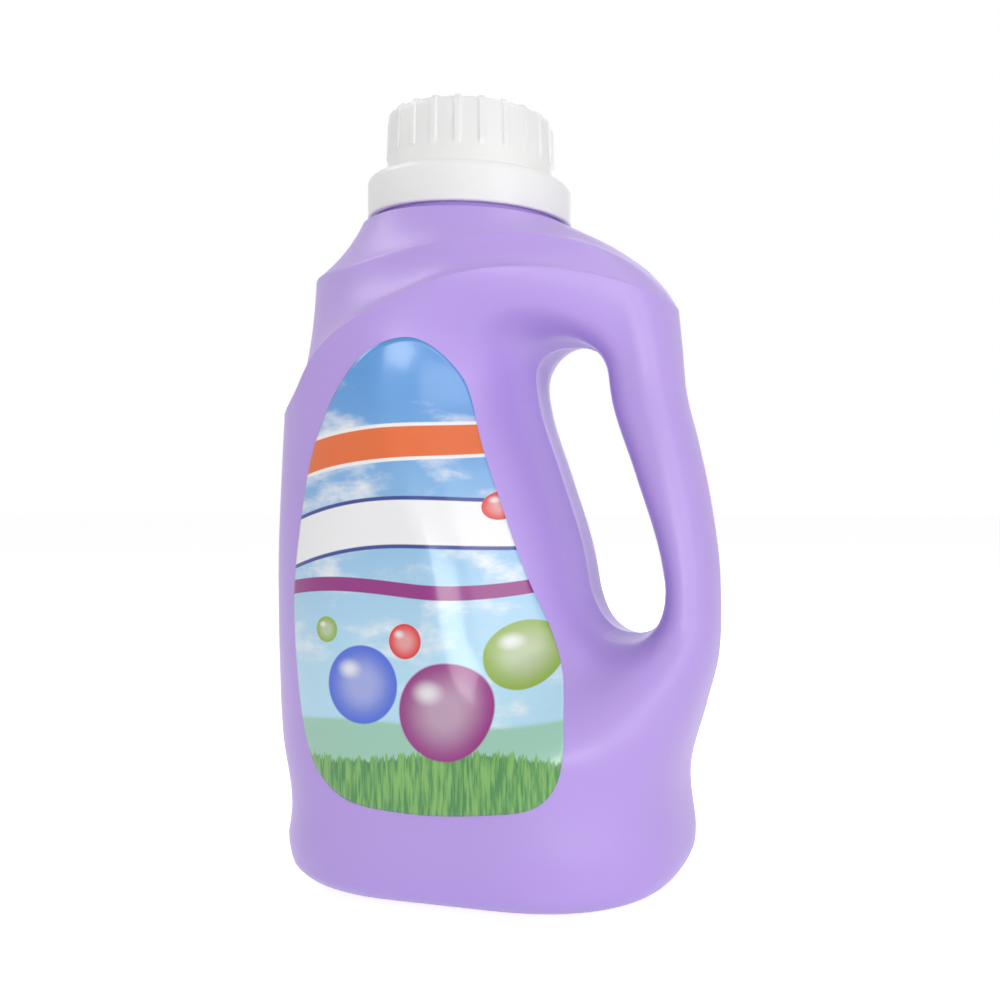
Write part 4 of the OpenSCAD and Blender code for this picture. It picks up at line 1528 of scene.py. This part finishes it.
@dataclass
class MeasuringCap:
    """The ribbed cap, an inverted measuring cup with a threaded skirt."""

    spout: PourSpout
    sizes: ClosureSizes = field(default_factory=ClosureSizes)
    rib_shoulder: float = 0.8
    rib_skew: float = 0.3
    rib_start: float = 0.9
    rib_end: float = 82
    rib_fade: float = 22
    longest: float = 0.7

    def __post_init__(self) -> None:
        """Work out the heights that other sizes give."""
        s = self.sizes
        self.low = self.spout.top + s.fit
        self.top = self.spout.top + s.cap_h
        self.skirt_r = self.spout.well_in - 2 * s.fit
        self.foot_r = self.spout.well_in + s.cap_lip
        self.head_r = self.foot_r - s.cap_taper

    def side_r(self, z: float) -> float:
        """Radius of the cap's side at a height."""
        return mix(self.foot_r, self.head_r, (z - self.low) / (self.top - self.low))

    def columns(self) -> Grid:
        """Columns of the cap, closer together at the shoulders of the ribs.

        Returns:
            Their angles in degrees.
        """
        s = self.sizes
        period = 360 / s.rib_n
        half = s.rib_angle / 2
        rise = self.rib_shoulder
        skew = rise * self.rib_skew
        one = np.concatenate([
            np.linspace(-half + rise, half - rise, 5),
            np.linspace(half - rise, half + skew, 6)[1:],
            np.linspace(half + skew, period - half - skew, 8)[1:],
            np.linspace(period - half - skew, period - half + rise, 6)[1:-1],
        ])
        return np.concatenate([one + period * (n + 0.5) for n in range(s.rib_n)])

    def build(self) -> bpy.types.Object:
        """Build the cap.

        Returns:
            The cap's object.
        """
        s = self.sizes
        round_z = self.top - s.cap_round
        head = self.side_r(round_z) - s.cap_round
        foot, skirt, inner = self.foot_r, self.skirt_r, self.skirt_r - s.cap_wall
        low, end, roof = self.low, self.low - s.skirt_l, self.top - s.cap_wall
        profile = [(0.0, self.top), (6.0, self.top), (head - 1, self.top)]
        profile += arc(head, round_z, s.cap_round, 90, 0, 14)
        profile += [(foot, low + s.chamfer), (foot - 0.1, low + 0.1), (foot - s.chamfer, low)]
        profile += [(skirt, low), (skirt, end + 1), (skirt - 0.5, end), (inner, end)]
        profile += [(inner, roof - 2), (inner - 2, roof), (0.0, roof)]
        shape = densify(profile, self.longest)
        degrees = self.columns()
        centre = self.spout.centre
        grid = self._ribs(shape, degrees, revolve(shape, degrees, centre))
        threaded = (np.abs(shape[:, 0] - skirt) < 0.01)[:, None, None]
        cut = thread_ridge(grid, centre, end + 1.5, low - 1, s.thread_pitch, s.thread_out)
        grid = np.where(threaded, cut, grid)
        builder = MeshBuilder("measuring_cap")
        builder.grid(grid, wrap=True, flip=True)
        return builder.build()

    def _ribs(self, shape: Grid, degrees: Grid, grid: Grid) -> Grid:
        """Raise the grip ribs on the cap's side and its rounded top edge.

        Args:
            shape: The turned profile.
            degrees: Angles of the columns.
            grid: The cap without ribs.

        Returns:
            The cap with them.
        """
        s = self.sizes
        period = 360 / s.rib_n
        off = np.abs((degrees / period - 0.5) - np.round(degrees / period - 0.5)) * period
        around = ramp((s.rib_angle / 2 - off) / self.rib_shoulder + self.rib_skew)
        r, z = shape[:, 0], shape[:, 1]
        side = r > self.side_r(self.top) - s.cap_round - 0.2
        outside = side & (z > self.low + 1)
        start = ramp((z - self.low - s.band_h) / self.rib_start)
        above = z - (self.top - s.cap_round)
        angle = np.degrees(np.arctan2(above, r - self.side_r(self.top) + s.cap_round))
        fade = ramp((self.rib_end - angle) / self.rib_fade)
        rise = s.rib_out * start * fade * outside
        steep = np.radians(np.clip(angle, 0, 90))
        out = rise[:, None] * around[None]
        a = np.radians(degrees)[None]
        made = grid.copy()
        made[..., 0] += out * np.cos(steep)[:, None] * np.cos(a)
        made[..., 1] += out * np.cos(steep)[:, None] * np.sin(a)
        made[..., 2] += out * np.sin(steep)[:, None]
        return made

    def dress(self, piece: bpy.types.Object) -> None:
        """Give the cap its white polypropylene and its place in the model."""
        finish = white_plastic("white_cap_polypropylene", roughness=0.30, grain=0.06)
        fit_out(piece, finish, BodyName.CAP, Node.CAP)


@dataclass
class FrontLabel:
    """The film label on the body's front."""

    form: BottleForm
    left: float = -51.5
    low: float = 32.5
    top: float = 174.5
    width: float = 89.5
    thickness: float = 0.15
    gap: float = 0.05
    steps: int = 18
    ring_n: int = 50
    shape: tuple[tuple[float, float], ...] = (
        (0.45, 1.0), (0.573, 0.93), (0.646, 0.78), (0.733, 0.624), (0.844, 0.428), (0.953, 0.26),
        (1.0, 0.13), (0.93, 0.035), (0.73, 0.008), (0.45, 0.0), (0.2, 0.028), (0.06, 0.14),
        (0.0, 0.4), (0.033, 0.6), (0.113, 0.79), (0.27, 0.945),
    )
    middle: tuple[float, float] = (0.47, 0.45)

    def outline(self) -> Grid:
        """The label's closed outline, a smooth curve through the points of its shape.

        Returns:
            Points in shares of the label's width and height.
        """
        shape = np.array(self.shape)
        t = even(self.steps)[None, :, None]
        a, b = np.roll(shape, 1, 0)[:, None], shape[:, None]
        c, d = np.roll(shape, -1, 0)[:, None], np.roll(shape, -2, 0)[:, None]
        square, cube = (2 * a - 5 * b + 4 * c - d) / 2, (3 * b - a - 3 * c + d) / 2
        line = b + (c - a) / 2 * t + square * t**2 + cube * t**3
        return line.reshape(-1, 2)

    def skin(self, out: float) -> Grid:
        """One skin of the label.

        Args:
            out: Distance from the body's skin.

        Returns:
            Rings, from its middle to its edge, by points by three coordinates.
        """
        line = self.outline()
        middle = np.array(self.middle)
        share = np.linspace(0, 1, self.ring_n + 1)[:, None, None]
        unit = middle + (line[None] - middle) * share
        x, z = self.left + self.width * unit[..., 0], mix(self.low, self.top, unit[..., 1])
        y = -self.form.half_depth(np.stack([x, z], axis=2), out)
        return np.stack([x, y, z], axis=2)

    def build(self) -> bpy.types.Object:
        """Build the label.

        Returns:
            The label's object.
        """
        outer, inner = self.skin(self.gap + self.thickness), self.skin(self.gap)
        builder = MeshBuilder("front_label_film")
        builder.grid(outer, wrap=True)
        builder.grid(np.array([outer[-1], inner[-1]]), wrap=True)
        builder.grid(inner, wrap=True, flip=True)
        return builder.build()

    def dress(self, piece: bpy.types.Object) -> None:
        """Give the label its print and its place in the model.

        Args:
            piece: The finished label.
        """
        height = self.top - self.low
        finish = PrintedFilm("printed_label_film", self.left, self.low, self.width, height)
        fit_out(piece, finish.make(), BodyName.BODY, Node.LABEL)


@dataclass(frozen=True)
class Softbox:
    """An area lamp aimed at the bottle."""

    name: str
    place: tuple[float, float, float]
    size: tuple[float, float]
    power: float
    aim: tuple[float, float, float] = (0.0, 0.0, 0.13)

    def make(self) -> None:
        """Add the lamp."""
        data = bpy.data.lights.new(self.name, "AREA")
        data.shape = "RECTANGLE"
        data.size, data.size_y = self.size
        data.energy = self.power
        lamp = new_object(self.name, data)
        lamp.location = self.place
        lamp.rotation_mode = "QUATERNION"
        lamp.rotation_quaternion = (Vector(self.aim) - Vector(self.place)).to_track_quat("-Z", "Y")


@dataclass
class Studio:
    """The floor, the backdrop's light, the lamps and the camera."""

    camera_place: tuple[float, float, float] = (0.1485, -0.3317, 0.127)
    camera_azimuth: float = 15.0
    focal_px: float = 1060.0
    middle_px: tuple[float, float] = (675.0, 495.0)
    image_px: float = 1000.0
    sensor_mm: float = 36.0
    floor_reach: float = 6.0
    horizon: float = 0.50
    zenith: float = 0.16
    backdrop: float = 0.76

    def make(self) -> None:
        """Set the whole studio."""
        self._floor()
        self._world()
        self._camera()
        for lamp in (
            Softbox("front_softbox", (0.45, -0.90, 0.08), (0.5, 0.4), 4.1),
            Softbox("right_softbox", (1.00, -0.55, 0.25), (0.5, 0.8), 3.2),
            Softbox("left_softbox", (-0.75, -0.20, 0.85), (0.4, 0.5), 2.6),
            Softbox("top_softbox", (0.35, 0.1, 1.0), (0.6, 0.6), 1.6),
            Softbox("back_softbox", (-0.3, 1.1, 0.45), (0.8, 0.8), 2.2),
        ):
            lamp.make()
        bpy.context.scene.view_settings.view_transform = "Standard"

    def _floor(self) -> None:
        """Add a pale floor that keeps the bottle's shadow."""
        mesh = bpy.data.meshes.new("studio_floor")
        far = self.floor_reach
        corners = [(-far, -far, 0), (far, -far, 0), (far, far, 0), (-far, far, 0)]
        mesh.from_pydata(corners, [], [(0, 1, 2, 3)])
        floor = new_object("studio_floor", mesh)
        material, nodes, shader = new_material("studio_floor_paper")
        set_values(shader, {
            "Base Color": (0.93, 0.93, 0.93, 1), "Roughness": 0.9,
            "Specular IOR Level": 0.0, "Emission Color": (1, 1, 1, 1),
        })
        seen = nodes.math("MULTIPLY", self._seen(nodes), self.backdrop)
        nodes.feed(shader.inputs["Emission Strength"], seen)
        mesh.materials.append(material)

    @staticmethod
    def _seen(nodes: NodeTree) -> bpy.types.NodeSocket:
        """Mask of what the camera sees, also in a reflection or through a clear wall.

        Args:
            nodes: The tree to add to.

        Returns:
            1 where it is seen, and 0 for other light.
        """
        path = nodes.add("ShaderNodeLightPath").outputs
        mirrored = nodes.math("MAXIMUM", path["Is Glossy Ray"], path["Is Transmission Ray"])
        return nodes.math("MAXIMUM", path["Is Camera Ray"], mirrored)

    def _world(self) -> None:
        """White behind the bottle for the camera, and soft light all round."""
        world = bpy.data.worlds.new("studio_light")
        world.use_nodes = True
        bpy.context.scene.world = world
        nodes = NodeTree(world.node_tree)
        for node in list(world.node_tree.nodes):
            world.node_tree.nodes.remove(node)
        place = nodes.add("ShaderNodeTexCoord").outputs["Generated"]
        height = nodes.add("ShaderNodeSeparateXYZ", {0: place}).outputs["Z"]
        fall = nodes.math("MULTIPLY", nodes.step(height, 0.0, 0.9), self.zenith - self.horizon)
        light, seen = (
            nodes.add("ShaderNodeBackground", {"Color": (1.0, 1.0, 1.0), "Strength": strength})
            for strength in (nodes.math("ADD", fall, self.horizon), 1.0)
        )
        mixed = nodes.add("ShaderNodeMixShader", {
            0: self._seen(nodes), 1: light.outputs[0], 2: seen.outputs[0],
        })
        nodes.add("ShaderNodeOutputWorld", {"Surface": mixed.outputs[0]})

    def _camera(self) -> None:
        """Place the camera as the photograph was taken."""
        data = bpy.data.cameras.new("photo_camera")
        data.sensor_width = self.sensor_mm
        data.lens = self.sensor_mm * self.focal_px / self.image_px
        data.shift_x = (self.image_px / 2 - self.middle_px[0]) / self.image_px
        data.shift_y = (self.middle_px[1] - self.image_px / 2) / self.image_px
        camera = new_object("photo_camera", data)
        camera.location = self.camera_place
        camera.rotation_euler = (math.pi / 2, 0.0, math.radians(self.camera_azimuth))
        bpy.context.scene.camera = camera


def report(piece: bpy.types.Object) -> None:
    """Log a piece's name and its number of triangles."""
    piece.data.calc_loop_triangles()
    LOG.info("%s: %d triangles", piece.name, len(piece.data.loop_triangles))


def main() -> None:
    """Build the bottle piece by piece, then the studio."""
    logging.basicConfig(level=logging.INFO, format="%(name)s: %(message)s")
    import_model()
    EffectGroups().make()
    bottle = Bottle()
    spout = PourSpout()
    makers: list[Bottle | PourSpout | MeasuringCap | FrontLabel] = [
        bottle, spout, MeasuringCap(spout), FrontLabel(bottle.form),
    ]
    for maker in makers:
        piece = maker.build()
        maker.dress(piece)
        report(piece)
    Studio().make()


if __name__ == "__main__":
    main()
